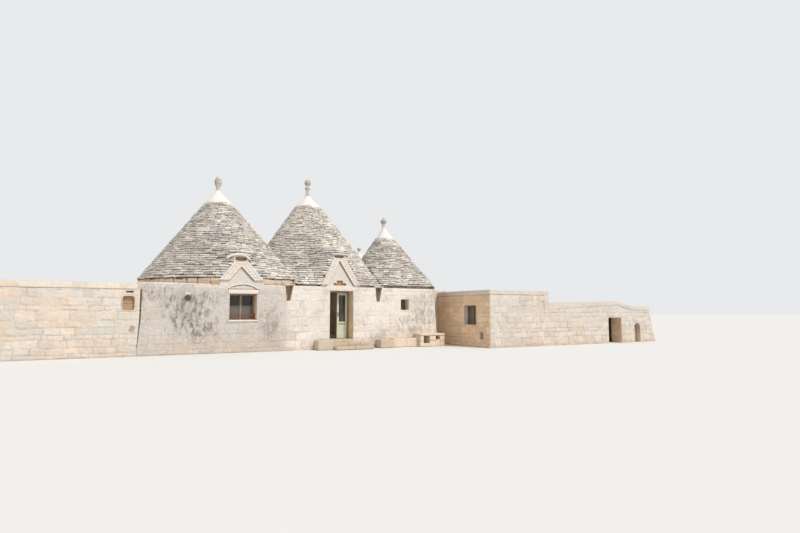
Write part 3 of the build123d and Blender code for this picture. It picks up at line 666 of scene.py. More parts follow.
def drawn_forward(cone, x, y, level):
    """How far the slabs at a place are drawn forward. Along the eave they come up to the front line, fading
    with the square of the height over it; beside a gable they come up to its face."""
    shift = 0.0
    if cone.squared:
        low, high = cone.squared
        span = np.clip(np.minimum(x - low, high - x) / VALLEY_FADE + 1.0, 0, 1)
        circle = cone.y - np.sqrt(np.maximum(cone.radius ** 2 - (x - cone.x) ** 2, 0.0))
        fade = np.clip(1 - (level - cone.eave) / EAVE_FADE, 0, 1) ** 2
        shift = np.clip(circle + 0.015, 0, 0.85) * fade * span
    for gable in gables_of(cone):
        close = np.clip(1 - np.maximum(beside_gable(gable, x, level) - 0.05, 0) / GABLE_FADE, 0, 1)
        close = close * close * (3 - 2 * close) * np.clip((gable.top + 0.50 - level) / 0.35, 0, 1)
        shift = np.maximum(shift, np.clip(y + 0.01, 0, 1.1) * close)
    return shift * (y < cone.y * 0.75)


# What lies nearer than this Y is on the front of a cone
CONE_FRONT = 2.0

# A slab's cross-section: distance in from its lip, as a share of its depth, height, as a share of its
# thickness, and how bright it is painted: darker under the lip and at the back as painted shade, which also
# marks the joints. Then places along it, as shares of half of it, and cut corners
SLAB_IN = np.array([0.055, 0.0, 0.05, 0.42, 1.0, 1.0])
SLAB_UP = np.array([0.02, 0.42, 0.93, 1.06, 1.12, 0.05])
SLAB_SHADE_AND_JOINT = np.array([0.35, 0.85, 1.0, 0.95, 0.3, 0.1])
SLAB_ALONG = np.array([-1.0, -0.86, 0.86, 1.0])[:, None]
SLAB_CUT = np.array([0.10, 0.0, 0.0, 0.10])[:, None]
SLAB_SHAPE = (len(SLAB_ALONG), len(SLAB_IN))
SLAB_POINTS = len(SLAB_ALONG) * len(SLAB_IN)


def slab_quads():
    """Faces of one slab: a tube of six by four points, closed by two faces at each end."""
    near_end = np.array([[5, 2, 1, 0], [5, 4, 3, 2]])
    far_end = near_end[:, ::-1] + SLAB_POINTS - len(SLAB_IN)
    return np.concatenate([grid_quads(*SLAB_SHAPE, wrap_columns=True), near_end, far_end])


def ring_slabs(cone, stones, rng, rough):
    """Slabs bent round a cone's axis. Each row of stones holds angle, half length, lip radius, level,
    thickness and depth. Points: radius = lip radius - share in * depth, level = foot + share up * thickness,
    angle = middle angle + share along * half length / lip radius, then each is drawn forward."""
    angle, half, radius, level, thick, depth = stones.T[:, :, None, None]
    each = (len(stones),) + SLAB_SHAPE
    out = radius - (SLAB_IN + SLAB_CUT) * depth + rng.normal(0, rough, each)
    up = level + SLAB_UP * thick + rng.normal(0, rough * 0.5, each)
    up = up + rng.normal(0, 0.006, (len(stones), 1, 1)) * SLAB_ALONG
    turn = angle + SLAB_ALONG * half / radius + rng.normal(0, 0.004, each) / radius
    slabs = round_axis(cone, turn, out, up)
    lip = round_axis(cone, turn, radius, level)
    forward = drawn_forward(cone, *np.moveaxis(lip, -1, 0))
    slabs[..., 1] -= forward * (1 - 0.25 * SLAB_IN)
    for gable in gables_of(cone):
        beside = beside_gable(gable, slabs[..., 0], up)
        cut = (beside < -0.01) & (up < gable.top) & (lip[..., 1] < CONE_FRONT)
        side = np.sign(gable_line(gable, slabs[..., 0], up)[0])
        slabs[..., 0] = np.where(cut, slabs[..., 0] - side * (beside + 0.01), slabs[..., 0])
    return slabs


def ring_shares(places, count):
    """Middle angle and width of each stone of a ring, from its joints' places counted in stones."""
    cuts = places * 2 * math.pi / count
    widths = (np.roll(cuts, -1) - cuts) % (2 * math.pi)
    return cuts + widths / 2, widths


def lay_cone(cone, sizes, rng):
    """Rows of stones from the eave to the cap, each row set in to follow the slope."""
    rows, level = [], cone.eave
    while level < cone.top - 0.02:
        share = rise_share(cone, level)
        thick = sizes.course_height * (1.12 - 0.28 * share) * rng.uniform(0.9, 1.1)
        thick = min(thick, cone.top - level)
        radius = cone_radius(cone, level)
        length = sizes.slab_length * (1.1 - 0.35 * share)
        count = max(int(round(2 * math.pi * radius / length)), 9)
        places = np.arange(count) + rng.uniform(-0.28, 0.28, count) + rng.uniform()
        angles, widths = ring_shares(places, count)
        gap = rng.uniform(0.001, 0.007, count)
        stones = np.column_stack([
            angles, widths * radius / 2 - gap, radius - np.abs(rng.normal(0, sizes.raggedness, count)),
            level + rng.normal(0, 0.005, count), thick * rng.uniform(0.82, 1.02, count),
            sizes.slab_depth * rng.uniform(0.8, 1.1, count)])
        if not rows:
            stones[:, 4] *= 0.9
        stones[:, 5] = np.minimum(stones[:, 5], radius * 0.8)
        rows.append(stones)
        level += thick
    stones = np.concatenate(rows)
    angle, _, radius, level = stones.T[:4]
    lip = round_axis(cone, angle, radius, level) + (0, 0, 0.04)
    over_eave = lip[:, 2] - cone.eave
    margin = 0.10 + 0.16 * np.clip(1 - over_eave / 1.1, 0, 1)
    if cone.name == "c":
        margin += (0.02 - margin) * np.clip((over_eave - 0.15) / 0.2, 0, 1)
    return stones[~inside_other_cone(cone, lip, margin) & ~under_gable(cone, lip, 0.12)]


def slab_shape(cone, stones, rng, rough, pale=0.0):
    """The slabs as one shape, with a tone for each slab, and how much each of its points is darkened as
    painted shade under the lips and at the joints.
    """
    slabs = ring_slabs(cone, stones, rng, rough)
    tone = np.clip(rng.beta(2.0, 2.0, len(slabs)) + pale, 0, 1)
    # Painted shade: each slab is darker under its lip and at its back, and a little at its cut ends
    edge = np.tile((SLAB_SHADE_AND_JOINT * np.where(SLAB_CUT > 0, 0.8, 1.0)).ravel(), len(slabs))
    return (slabs, repeat_quads(slab_quads(), len(slabs), SLAB_POINTS),
            {"tone": np.repeat(tone, SLAB_POINTS), "edge": edge})


def roof_shell(cone):
    """The bed under the slabs, turned as one closed profile that leans: drum, cone face set in, dome within.
    Points: radius and level follow the profile, and X is held at the valley planes."""
    around, drum_inset, inset, crown = 96, 0.07, 0.12, 0.60
    foot = WALL_TOP + 0.002
    profile = np.array([
        (cone.room, foot), (cone.radius - drum_inset, foot),
        (cone.radius - drum_inset, cone.eave - 0.012), (cone.radius - inset, cone.eave),
        (cone.top_radius - 0.06, cone.top), (0.02, cone.top + 0.02), (0.02, cone.top - crown),
        (0.25, cone.top - crown)])
    radius, level = profile.T[:, :, None]
    points = round_axis(cone, full_turn(around), radius, level)
    low, high = cone.valleys
    points[..., 0] = np.clip(points[..., 0], low + 0.02, high - 0.02)
    for gable in gables_of(cone):
        before = np.abs(points[..., 0] - gable.x) < gable.half - 0.06
        points[..., 1] = np.where(before, np.maximum(points[..., 1], 0.06), points[..., 1])
    return points, grid_quads(len(profile), around, wrap_rows=True, wrap_columns=True)


class TRULLO_OT_roofs(bpy.types.Operator):
    """Lays the slabs of the four cones on their beds"""
    bl_idname = "trullo.roofs"
    bl_label = "Cone roofs"

    def execute(self, context):
        for number, cone in enumerate(CONES):
            rng = np.random.default_rng(100 + number)
            # The bed is coloured dark as painted shade, seen through the gaps between the slabs
            make_piece(f"roof_bed_{cone.name}", roof_shell(cone), "bed",
                       replaces=[f"roof_{cone.name}"])
            shape = slab_shape(cone, lay_cone(cone, settings().slabs, rng), rng, 0.006, cone.tone)
            make_piece(f"roof_slabs_{cone.name}", shape, "roof")
            self.lay_wall_head(cone, rng)
        self.valley_line(CONES[1], CONES[2], 3.90, 2.74)
        return {"FINISHED"}

    def valley_line(self, one, two, high, low):
        """The painted shadow in front where two cones meet: a dark flat section carried down the line where
        their faces cross. At each level that is where two circles cross: far along the line of their middles
        by (distance squared + radius squared - other radius squared) / (2 distance), and across it by
        Pythagoras."""
        rows = 40
        level = np.linspace(high, low, rows)
        middle, other = (round_axis(cone, 0, 0, level)[:, :2] for cone in (one, two))
        reach_one, reach_two = cone_radius(one, level), cone_radius(two, level)
        away = np.linalg.norm(other - middle, axis=1)
        way = (other - middle) / away[:, None]
        along = (away ** 2 + reach_one ** 2 - reach_two ** 2) / (2 * away)
        across = np.sqrt(np.maximum(reach_one ** 2 - along ** 2, 0.0))
        front = np.stack([way[:, 1], -way[:, 0]], axis=1)
        flat = middle + way * along[:, None] + front * across[:, None]
        line = np.column_stack([flat, level])
        line[:, 1] -= np.maximum(drawn_forward(one, *line.T), drawn_forward(two, *line.T))
        out = np.column_stack([(flat - middle) / reach_one[:, None] + (flat - other) / reach_two[:, None],
                               np.full(rows, 1.2)])
        out /= np.linalg.norm(out, axis=1)[:, None]
        down = np.gradient(line, axis=0)
        side = np.cross(out, down / np.linalg.norm(down, axis=1)[:, None])
        wide = 0.034 * np.interp(np.arange(rows), (0, 12, 34, 39), (0.5, 1.0, 0.9, 0.3))
        lift = 0.040 + 0.022 * smooth_noise(line, 0.16, 61)
        section = ((-1, -1.2), (-0.6, 1.0), (0.6, 1.0), (1, -1.2))
        points = np.stack([line + side * (sideways * wide)[:, None] + out * (outwards * lift)[:, None]
                           for sideways, outwards in section], axis=1)
        make_piece(f"valley_{one.name}{two.name}", (points, closed_strip_quads(rows, len(section))), "bed",
                   tone=0.5)

    def lay_wall_head(self, cone, rng):
        """The ring of blocks under the eave, between the wall top and the first slabs."""
        count = int(2 * math.pi * cone.radius / 0.42)
        angles, widths = ring_shares(np.arange(count) + rng.uniform(-0.2, 0.2, count), count)
        radius, thick, depth = cone.radius - 0.05, (cone.eave - WALL_TOP) * 0.93, 0.22
        lips = radius - rng.uniform(0, 0.012, count)
        stones = np.column_stack([angles, widths * radius / 2 - 0.002, lips,
                                  np.full((count, 3), (WALL_TOP + 0.004, thick, depth))])
        lip = round_axis(cone, angles, radius, cone.eave)
        stones = stones[~inside_other_cone(cone, lip, 0.14) & ~under_gable(cone, lip, 0.02)]
        make_piece(f"wall_head_{cone.name}", slab_shape(cone, stones, rng, 0.003), cone.head)


# Caps and pinnacles

def turned(profile, around):
    """A profile of (radius, level) turned about the Z axis: x = radius cos, y = radius sin."""
    radius, level = np.asarray(profile, float).T[:, :, None]
    turn = full_turn(around)
    return xyz(radius * np.cos(turn), radius * np.sin(turn), level)


def smooth_profile(knots, count):
    """A profile through its knots by the Catmull-Rom formula, evenly in the knot number."""
    knots = np.asarray(knots, float)
    padded = np.concatenate([2 * knots[:1] - knots[1:2], knots, 2 * knots[-1:] - knots[-2:-1]])
    place = np.linspace(0, len(knots) - 1.000001, count)
    number, t = place.astype(int), (place % 1)[:, None]
    p0, p1, p2, p3 = (padded[number + k] for k in range(4))
    curve = 0.5 * (2 * p1 + (p2 - p0) * t + (2 * p0 - 5 * p1 + 4 * p2 - p3) * t ** 2
                   + (3 * p1 - p0 - 3 * p2 + p3) * t ** 3)
    curve[:, 0] = np.maximum(curve[:, 0], 0.004)
    return curve


def cap_foot(cone):
    """The middle of a cap's foot."""
    return np.array([cone.x + cone.lean, cone.y, cone.top])


def cap_tip(cone):
    """The tip of a cap, which leans on at its cone's rate."""
    rate = cone.lean / (cone.top - cone.eave)
    return cap_foot(cone) + np.array([rate * cone.cap, 0, cone.cap])


class TRULLO_OT_caps(bpy.types.Operator):
    """Shapes the four lime-plastered caps, with a wavy foot over the last slabs"""
    bl_idname = "trullo.caps"
    bl_label = "Plaster caps"

    def execute(self, context):
        caps = [self.cap(number, cone) for number, cone in enumerate(CONES)]
        make_piece("lime_caps", joined(caps), "plaster", replaces=["plaster_caps"],
                   smooth=True)
        return {"FINISHED"}

    def cap(self, number, cone):
        """One cap: its radius falls from foot to tip with a power of what is left of its height. The foot
        waves, the axis leans to the tip, and noise moves each point outwards."""
        around, height, wide = 64, cone.cap, cone.top_radius + 0.02
        along = np.linspace(0, 1, 15)
        radius = CAP_TIP + (wide - CAP_TIP) * (1 - along) ** cone.bend
        under = [(0.02, 0.02), (wide - 0.09, -0.02), (wide - 0.035, -0.052), (wide + 0.008, -0.05)]
        side = np.stack([radius, along * height], axis=1)
        profile = np.concatenate([under, side, [(0.01, height + 0.004)]])
        grid = turned(profile, around)
        turn = full_turn(around)
        wave = 0.016 * np.sin(3 * turn + number) + 0.011 * np.sin(7 * turn + 2 * number)
        skirt = np.clip(1 - (profile[:, 1] + 0.05) / 0.12, 0, 1)
        skirt[0] = 0.0
        grid[:, :, 2] += skirt[:, None] * wave[None, :]
        foot, tip = cap_foot(cone), cap_tip(cone)
        grid[:, :, 0] += (grid[:, :, 2] / height) * (tip[0] - foot[0])
        grid += foot
        lumps = 0.005 * smooth_noise(grid, 0.35, 40 + number)
        out = grid - (foot + (grid[:, :, 2:3] - foot[2]) / height * (tip - foot))
        out[:, :, 2] = 0
        length = np.linalg.norm(out, axis=-1, keepdims=True)
        grid += lumps[:, :, None] * out / np.maximum(length, 0.05)
        return grid, grid_quads(len(profile), around, wrap_rows=True, wrap_columns=True), {}


# Pinnacle profiles: radius and level over the cap, from the foot up
PINNACLES = {
    "a": [(0.0, -0.03), (0.100, -0.03), (0.086, 0.01), (0.078, 0.06), (0.088, 0.12), (0.120, 0.20),
          (0.146, 0.28), (0.152, 0.33), (0.145, 0.39), (0.128, 0.43), (0.122, 0.46), (0.104, 0.51),
          (0.066, 0.565), (0.046, 0.60), (0.0, 0.618)],
    "b": [(0.0, -0.03), (0.102, -0.03), (0.088, 0.02), (0.078, 0.10), (0.084, 0.20), (0.118, 0.27),
          (0.138, 0.31), (0.112, 0.345), (0.076, 0.39), (0.080, 0.42), (0.112, 0.48), (0.143, 0.56),
          (0.142, 0.62), (0.112, 0.69), (0.06, 0.735), (0.0, 0.742)],
    "c": [(0.0, -0.03), (0.098, -0.03), (0.082, 0.02), (0.076, 0.06), (0.088, 0.12), (0.118, 0.175),
          (0.140, 0.235), (0.130, 0.295), (0.100, 0.345), (0.064, 0.395), (0.035, 0.44), (0.0, 0.455)],
    "d": [(0.0, -0.03), (0.095, -0.03), (0.072, 0.015), (0.058, 0.05), (0.070, 0.09), (0.104, 0.135),
          (0.112, 0.165), (0.092, 0.21), (0.05, 0.247), (0.0, 0.255)],
}
# Carved lobes round a knob
KNOB_LOBES = {"c": 8}
# Painted shade rings on the pinnacles, darker under their knobs and collars: level over the cap, spread and
# strength
PAINTED_SHADE_RINGS = {"a": ((0.41, 0.05, 0.7), (0.28, 0.09, 0.45)),
              "b": ((0.50, 0.07, 0.7), (0.62, 0.16, 0.45), (0.33, 0.05, 0.5)),
              "c": ((0.22, 0.12, 0.6),), "d": ((0.12, 0.12, 0.5),)}


class TRULLO_OT_pinnacles(bpy.types.Operator):
    """Turns the carved pinnacles and roughens them"""
    bl_idname = "trullo.pinnacles"
    bl_label = "Pinnacles"

    def execute(self, context):
        rows, around = 56, 40
        for number, cone in enumerate(CONES):
            name = cone.name
            profile = smooth_profile(PINNACLES[name], rows)
            grid = turned(profile, around)
            if name in KNOB_LOBES:
                high = np.clip((profile[:, 1] - 0.16) / 0.08, 0, 1)[:, None]
                grid[:, :, :2] *= (1 + 0.07 * high * np.sin(KNOB_LOBES[name] * full_turn(around)))[:, :, None]
            grid[:, :, :2] *= (1 + 0.035 * smooth_noise(grid, 0.16, 60 + number))[:, :, None]
            # Painted shade under the knobs and collars, broken by noise
            dark = sum(share * near(grid[..., 2], level, spread) for level, spread, share in PAINTED_SHADE_RINGS[name])
            edge = 1 - dark * (0.75 + 0.25 * smooth_noise(grid, 0.2, 66 + number))
            shape = (grid + cap_tip(cone), grid_quads(rows, around, wrap_columns=True),
                     {"tone": np.full(edge.shape, 0.5), "edge": edge})
            make_piece(f"carved_pinnacle_{name}", shape, "carved",
                       replaces=[f"pinnacle_{name}"], smooth=True)
        return {"FINISHED"}


# Walls of laid blocks

def wall_courses(low, high, height, stops, rng):
    """Joint levels from low to high that also pass through the heads and sills of the openings."""
    keys = sorted({low, high} | {s for s in stops if low + 0.07 < s < high - 0.07})
    levels = [low]
    for start, end in zip(keys[:-1], keys[1:]):
        count = max(int(round((end - start) / height)), 1)
        cuts = start + (end - start) * (np.arange(1, count + 1) / count)
        if count > 1:
            cuts[:-1] += rng.uniform(-0.1, 0.1, count - 1) * height
        levels.extend(cuts)
    return np.array(levels)


def lay_blocks(span, levels, length, openings, joint, rng):
    """Corners (along, up) of the blocks of each course, broken at the openings and filled out to fit."""
    corners = []
    for low, high in zip(levels[:-1], levels[1:]):
        free = [tuple(span)]
        for left, right, foot, head in openings:
            if min(high, head) - max(low, foot) < 0.02:
                continue
            free = [(low_end, high_end) for start, end in free
                    for low_end, high_end in ((start, min(end, left)), (max(start, right), end))
                    if high_end - low_end > 0.03]
        for start, end in free:
            count = max(int(round((end - start) / length * rng.uniform(0.85, 1.15))), 1)
            shares = rng.uniform(0.6, 1.4, count)
            cuts = start + (end - start) * np.concatenate([[0], np.cumsum(shares) / shares.sum()])
            for left, right in zip(cuts[:-1], cuts[1:]):
                corners.append([(left + joint, low + joint), (right - joint, low + joint),
                                (right - joint, high - joint), (left + joint, high - joint)])
    return np.array(corners)


# A laid block: a front of five by five points, and one point behind it
BLOCK_SIDE = 5
BLOCK_POINTS = BLOCK_SIDE ** 2 + 1


def block_quads(turned_in=False):
    """Faces of one block: its front, and a back of eight faces round the point behind. They point the other
    way where the front's (along, up, out) is turned in."""
    rim = [0, 1, 2, 3, 4, 9, 14, 19, 24, 23, 22, 21, 20, 15, 10, 5]
    back = [[rim[(k + 2) % 16], rim[k + 1], rim[k], 25] for k in range(0, 16, 2)]
    quads = np.concatenate([grid_quads(BLOCK_SIDE, BLOCK_SIDE), np.array(back)])
    return quads[:, ::-1] if turned_in else quads


def cushion_blocks(corners, depth, rng, rim=0.014, rough=0.004, wobble=0.006):
    """Blocks with worn edges, as (along, up, out) points. The place of a point is the two-way blend of the
    block's corners, and it stands out by the block's depth inside the rim and not at all on the rim."""
    count = len(corners)
    corners = corners + rng.normal(0, wobble, corners.shape)
    size = np.stack([corners[:, 1, 0] - corners[:, 0, 0], corners[:, 3, 1] - corners[:, 0, 1]], axis=1)
    size = np.maximum(size, 0.03)
    bevel = np.minimum(rim / size, 0.3)
    none = np.zeros((count, 2))
    share = np.stack([none, bevel, none + 0.5, 1 - bevel, none + 1], axis=1)
    u, v = share[:, None, :, 0, None], share[:, :, None, 1, None]
    a, b, c, d = (corners[:, None, None, k] for k in range(4))
    place = (1 - u) * (1 - v) * a + u * (1 - v) * b + u * v * c + (1 - u) * v * d
    inner = np.zeros((BLOCK_SIDE, BLOCK_SIDE))
    inner[1:4, 1:4] = 0.86
    inner[2, 2] = 1.0
    stand = rng.uniform(0.7, 1.15, count) * depth
    out = inner * stand[:, None, None] + rng.normal(0, rough, (count,) + inner.shape) * (inner > 0)
    out = np.where(inner > 0, np.maximum(out, 0.002), -0.004)
    front = np.concatenate([place, out[..., None]], axis=-1).reshape(count, -1, 3)
    middle = np.concatenate([corners.mean(axis=1), np.full((count, 1), -0.004)], axis=1)[:, None]
    edge = np.append((inner > 0).ravel(), False)
    tone = rng.beta(2.2, 2.2, count)
    return (np.concatenate([front, middle], axis=1),
            {"tone": np.repeat(tone, BLOCK_POINTS), "edge": np.tile(edge, count)})


X_WAY, Y_WAY = (1, 0, 0), (0, 1, 0)
FRONT, BACK, LEFT, RIGHT = (0, -1, 0), (0, 1, 0), (-1, 0, 0), (1, 0, 0)


def wall_face(out, plane, span, levels, openings=(), move=None, breaks=(), top=None, end=None):
    """A wall face to lay: the way that it looks, the plane it stands in, its span along that and its levels.
    It may also have openings as (left, right, foot, head), a top line or an end line as functions of the
    other direction, a move of its grid, and places where its grid breaks."""
    origin, along = ((0, plane, 0), X_WAY) if out[1] else ((plane, 0, 0), Y_WAY)
    turned_in = np.cross(along, (0, 0, 1)) @ np.array(out, float) < 0
    return Sizes(origin=origin, along=along, out=out, span=span, levels=levels, openings=openings, move=move,
                 breaks=breaks, top=top, end=end, turned_in=turned_in)


def stand_on_wall(points, face):
    """Turns (along, up, out) points to the frame, on a wall face."""
    origin, along, out = (np.array(each, float) for each in (face.origin, face.along, face.out))
    up = np.maximum(points[..., 1:2], 0.002)
    return origin + points[..., :1] * along + up * np.array([0, 0, 1.0]) + points[..., 2:] * out


def facing(name, finish, slot, faces, height, length, depth, seed, joint=0.004, **shape):
    """One piece that holds the blocks of several wall faces."""
    rng = np.random.default_rng(seed)
    parts = []
    for face in faces:
        stops = [level for opening in face.openings for level in opening[2:]]
        levels = wall_courses(*face.levels, height, stops, rng)
        corners = lay_blocks(face.span, levels, length, face.openings, joint, rng)
        if face.end:
            corners[..., 0] = np.minimum(corners[..., 0], face.end(corners[..., 1]))
            corners = corners[(corners[:, 1, 0] - corners[:, 0, 0]) > 0.05]
        if face.top:
            corners[..., 1] = np.minimum(corners[..., 1], face.top(corners[..., 0]))
            corners = corners[(corners[:, 2:, 1] - corners[:, :2, 1]).min(axis=1) > 0.02]
        blocks, fields = cushion_blocks(corners, depth, rng, **shape)
        quads = repeat_quads(block_quads(face.turned_in), len(corners), BLOCK_POINTS)
        parts.append((stand_on_wall(blocks, face), quads, fields))
    make_piece(name, joined(parts), finish)


def laid_field(along, up, course, length, seed, wander):
    """How coursed stones meet at each point: the distance to the nearest joint, and two numbers that belong
    to the stone there. Joint levels stand one course apart, each moved a little; the upright joints of a
    course stand one pitch apart from a random start, each moved a little; and noise makes all the lines
    wander."""
    rng = np.random.default_rng(seed)
    here = xyz(along, up, 0.0)
    a = along + wander * smooth_noise(here, 0.7, seed + 1)
    u = up + wander * smooth_noise(here, 1.1, seed + 2)
    count = int((up.max() - up.min()) / course) + 5
    levels = up.min() + course * (np.arange(count) - 1.5 + rng.uniform(-0.24, 0.24, count))
    row = np.clip(np.searchsorted(levels, u.ravel()).reshape(u.shape) - 1, 0, count - 2)
    pitch = length * rng.uniform(0.75, 1.3, count)
    start = along.min() - pitch * rng.uniform(1.0, 2.0, count)
    columns = 2 * (int((along.max() - along.min()) / length) + 6)
    shift, kinds = rng.uniform(-0.3, 0.3, (count, columns)), rng.uniform(0, 1, (count, columns, 2))
    place = (a - start[row]) / pitch[row]
    number = np.floor(place).astype(int)
    late = place >= number + 1 + shift[row, number + 1]
    number = number + late - ((place < number + shift[row, number]) & ~late)
    upright = np.minimum(place - number - shift[row, number], number + 1 + shift[row, number + 1] - place)
    flat = np.minimum(u - levels[row], levels[row + 1] - u)
    return np.minimum(flat, upright * pitch[row]), kinds[row, number]


def face_lines(low, high, step, stops):
    """Grid lines about one step apart from low to high, with a line at every stop."""
    keys = np.unique(np.round([low, high] + [s for s in stops if low < s < high], 4))
    parts = [np.linspace(start, end, max(int(round((end - start) / step)), 1), endpoint=False)
             for start, end in zip(keys[:-1], keys[1:])]
    return np.concatenate(parts + [[high]])


def ease(value, low, high):
    """From 0 at low to 1 at high, level at both ends."""
    share = np.clip((value - low) / (high - low), 0, 1)
    return share * share * (3 - 2 * share)


def coursed_surface(face, seed, step, course, length, wander, relief, base, joint, bare, dark):
    """One wall face as a grid of points that shows its stones. The face stands out by a base, more by a share
    of the relief for each stone and by noise, and sinks towards the joints where the wash has left them bare.
    Cells in openings are left out, and the points on every rim go back into the wall."""
    along = face_lines(*face.span, step, [v for hole in face.openings for v in hole[:2]] + list(face.breaks))
    up = face_lines(*face.levels, step, [v for hole in face.openings for v in hole[2:]])
    x, z = np.meshgrid(along, up)
    middle_x, middle_z = (x[:-1, :-1] + x[1:, 1:]) / 2, (z[:-1, :-1] + z[1:, 1:]) / 2
    open_cell = np.zeros(middle_x.shape, bool)
    for left, right, foot, head in face.openings:
        open_cell |= (middle_x > left) & (middle_x < right) & (middle_z > foot) & (middle_z < head)
    solid = np.pad(~open_cell, 1)
    rim = ~(solid[:-1, :-1] & solid[1:, :-1] & solid[:-1, 1:] & solid[1:, 1:])
    if face.move:
        x, z = face.move(x, z)
    gap, kind = laid_field(x, z, course, length, seed, wander)
    here = xyz(x, z, seed)
    bareness = ease(smooth_noise(here, 0.9, seed + 5) + bare + 0.7 * ease(z, 1.3, 0.2), -0.5, 0.7)
    sunk = 1 - ease(gap, 0.0, joint)
    out = (base + relief * (kind[..., 0] * 0.7 + 0.3 * smooth_noise(here, 0.35, seed + 6))
           * (0.35 + 0.65 * bareness) + 0.3 * relief * smooth_noise(here, 0.12, seed + 7)
           - (base + 0.2 * relief) * sunk * (0.25 + 0.75 * bareness))
    out = np.where(rim, -0.004, np.maximum(out, 0.001))
    narrow = 1 - ease(gap, 0.0, 0.6 * joint)
    fields = {"tone": kind[..., 1] * (0.4 + 0.6 * bareness) + 0.3 * (1 - bareness),
              "edge": 1 - dark * narrow * (0.2 + 0.8 * bareness) * (0.5 + 0.5 * kind[..., 0])}
    points = xyz(x, z, out).reshape(-1, 3)
    return points, grid_quads(*x.shape)[~open_cell.ravel()], {k: v.ravel() for k, v in fields.items()}


def surfaced(name, finish, faces, laid, seed):
    """One piece that holds the coursed surfaces of several wall faces."""
    parts = []
    for number, face in enumerate(faces):
        grid, quads, fields = coursed_surface(face, seed + 20 * number, **laid)
        parts.append((stand_on_wall(grid, face), quads[:, ::-1] if face.turned_in else quads, fields))
    make_piece(name, joined(parts), finish, smooth=True)


WASHED = dict(step=0.025, course=0.29, length=0.50, wander=0.035, relief=0.018, base=0.012, joint=0.028,
              bare=-0.1, dark=0.8)
ROUGH = dict(step=0.03, course=0.23, length=0.44, wander=0.03, relief=0.026, base=0.014, joint=0.032,
             bare=0.25, dark=0.75)
ROOF_EDGE = dict(ROUGH, relief=0.008, base=0.004, course=0.3)


def hole(node, axis=0):
    """An opening's (left, right, foot, head) from the box of the node that fills it."""
    low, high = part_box(node)
    return low[axis], high[axis], low.z, high.z


def jambs(opening, depth, start=0.01):
    """The two sides of an opening, from just behind the front to what fills it: they look at each other."""
    left, right, *levels = opening
    return [wall_face(out, x, (start, depth), levels) for out, x in ((RIGHT, left), (LEFT, right))]


WINDOW_HEAD = 2.36
SPOUT = (-6.12, -5.90, 1.90, 2.12)
RECESSES = ((AB_LEFT, B_LEFT), (B_RIGHT, C_LEFT))
RECESS_LEVEL = 1.95


def near(value, middle, spread):
    """1 at the middle and falling evenly to 0 at the spread."""
    return np.clip(1 - np.abs(value - middle) / spread, 0, 1)


def crack_line(z):
    """X of the open crack between the annex and the left front, which leans, and how wide it is."""
    line = np.interp(z, (0.0, 0.4, 1.2, 2.35), (-7.62, -7.59, -7.53, -7.52))
    return line, np.interp(z, (0.3, 0.8, 1.3, 2.35), (0.003, 0.008, 0.026, 0.034))


def left_of_crack(x, z):
    """Moves the annex's last grid lines up to the crack."""
    line, wide = crack_line(z)
    return x + (line - wide / 2 - A_LEFT) * near(x, A_LEFT, 0.072), z


def right_of_crack(x, z):
    """Moves the first grid lines of the left front up to the crack."""
    line, wide = crack_line(z)
    return x + (line + wide / 2 - A_LEFT) * near(x, A_LEFT, 0.5), z


def taper_recesses(x, z):
    """Moves the grid lines beside the recesses inwards towards the foot, as the notches narrow."""
    share = np.clip((z - RECESS_LEVEL) / (WALL_TOP - RECESS_LEVEL), 0, 1)
    fade = (1 - share) * np.clip(1 - (RECESS_LEVEL - z) / 0.3, 0, 1)
    moved = x.copy()
    for left, right in RECESSES:
        moved += fade * (0.06 * near(x, left, 0.14) - 0.12 * near(x, right, 0.14))
    return moved - 0.19 * np.clip(z / WALL_TOP, 0, 1) * near(x, C_RIGHT, 0.8), z


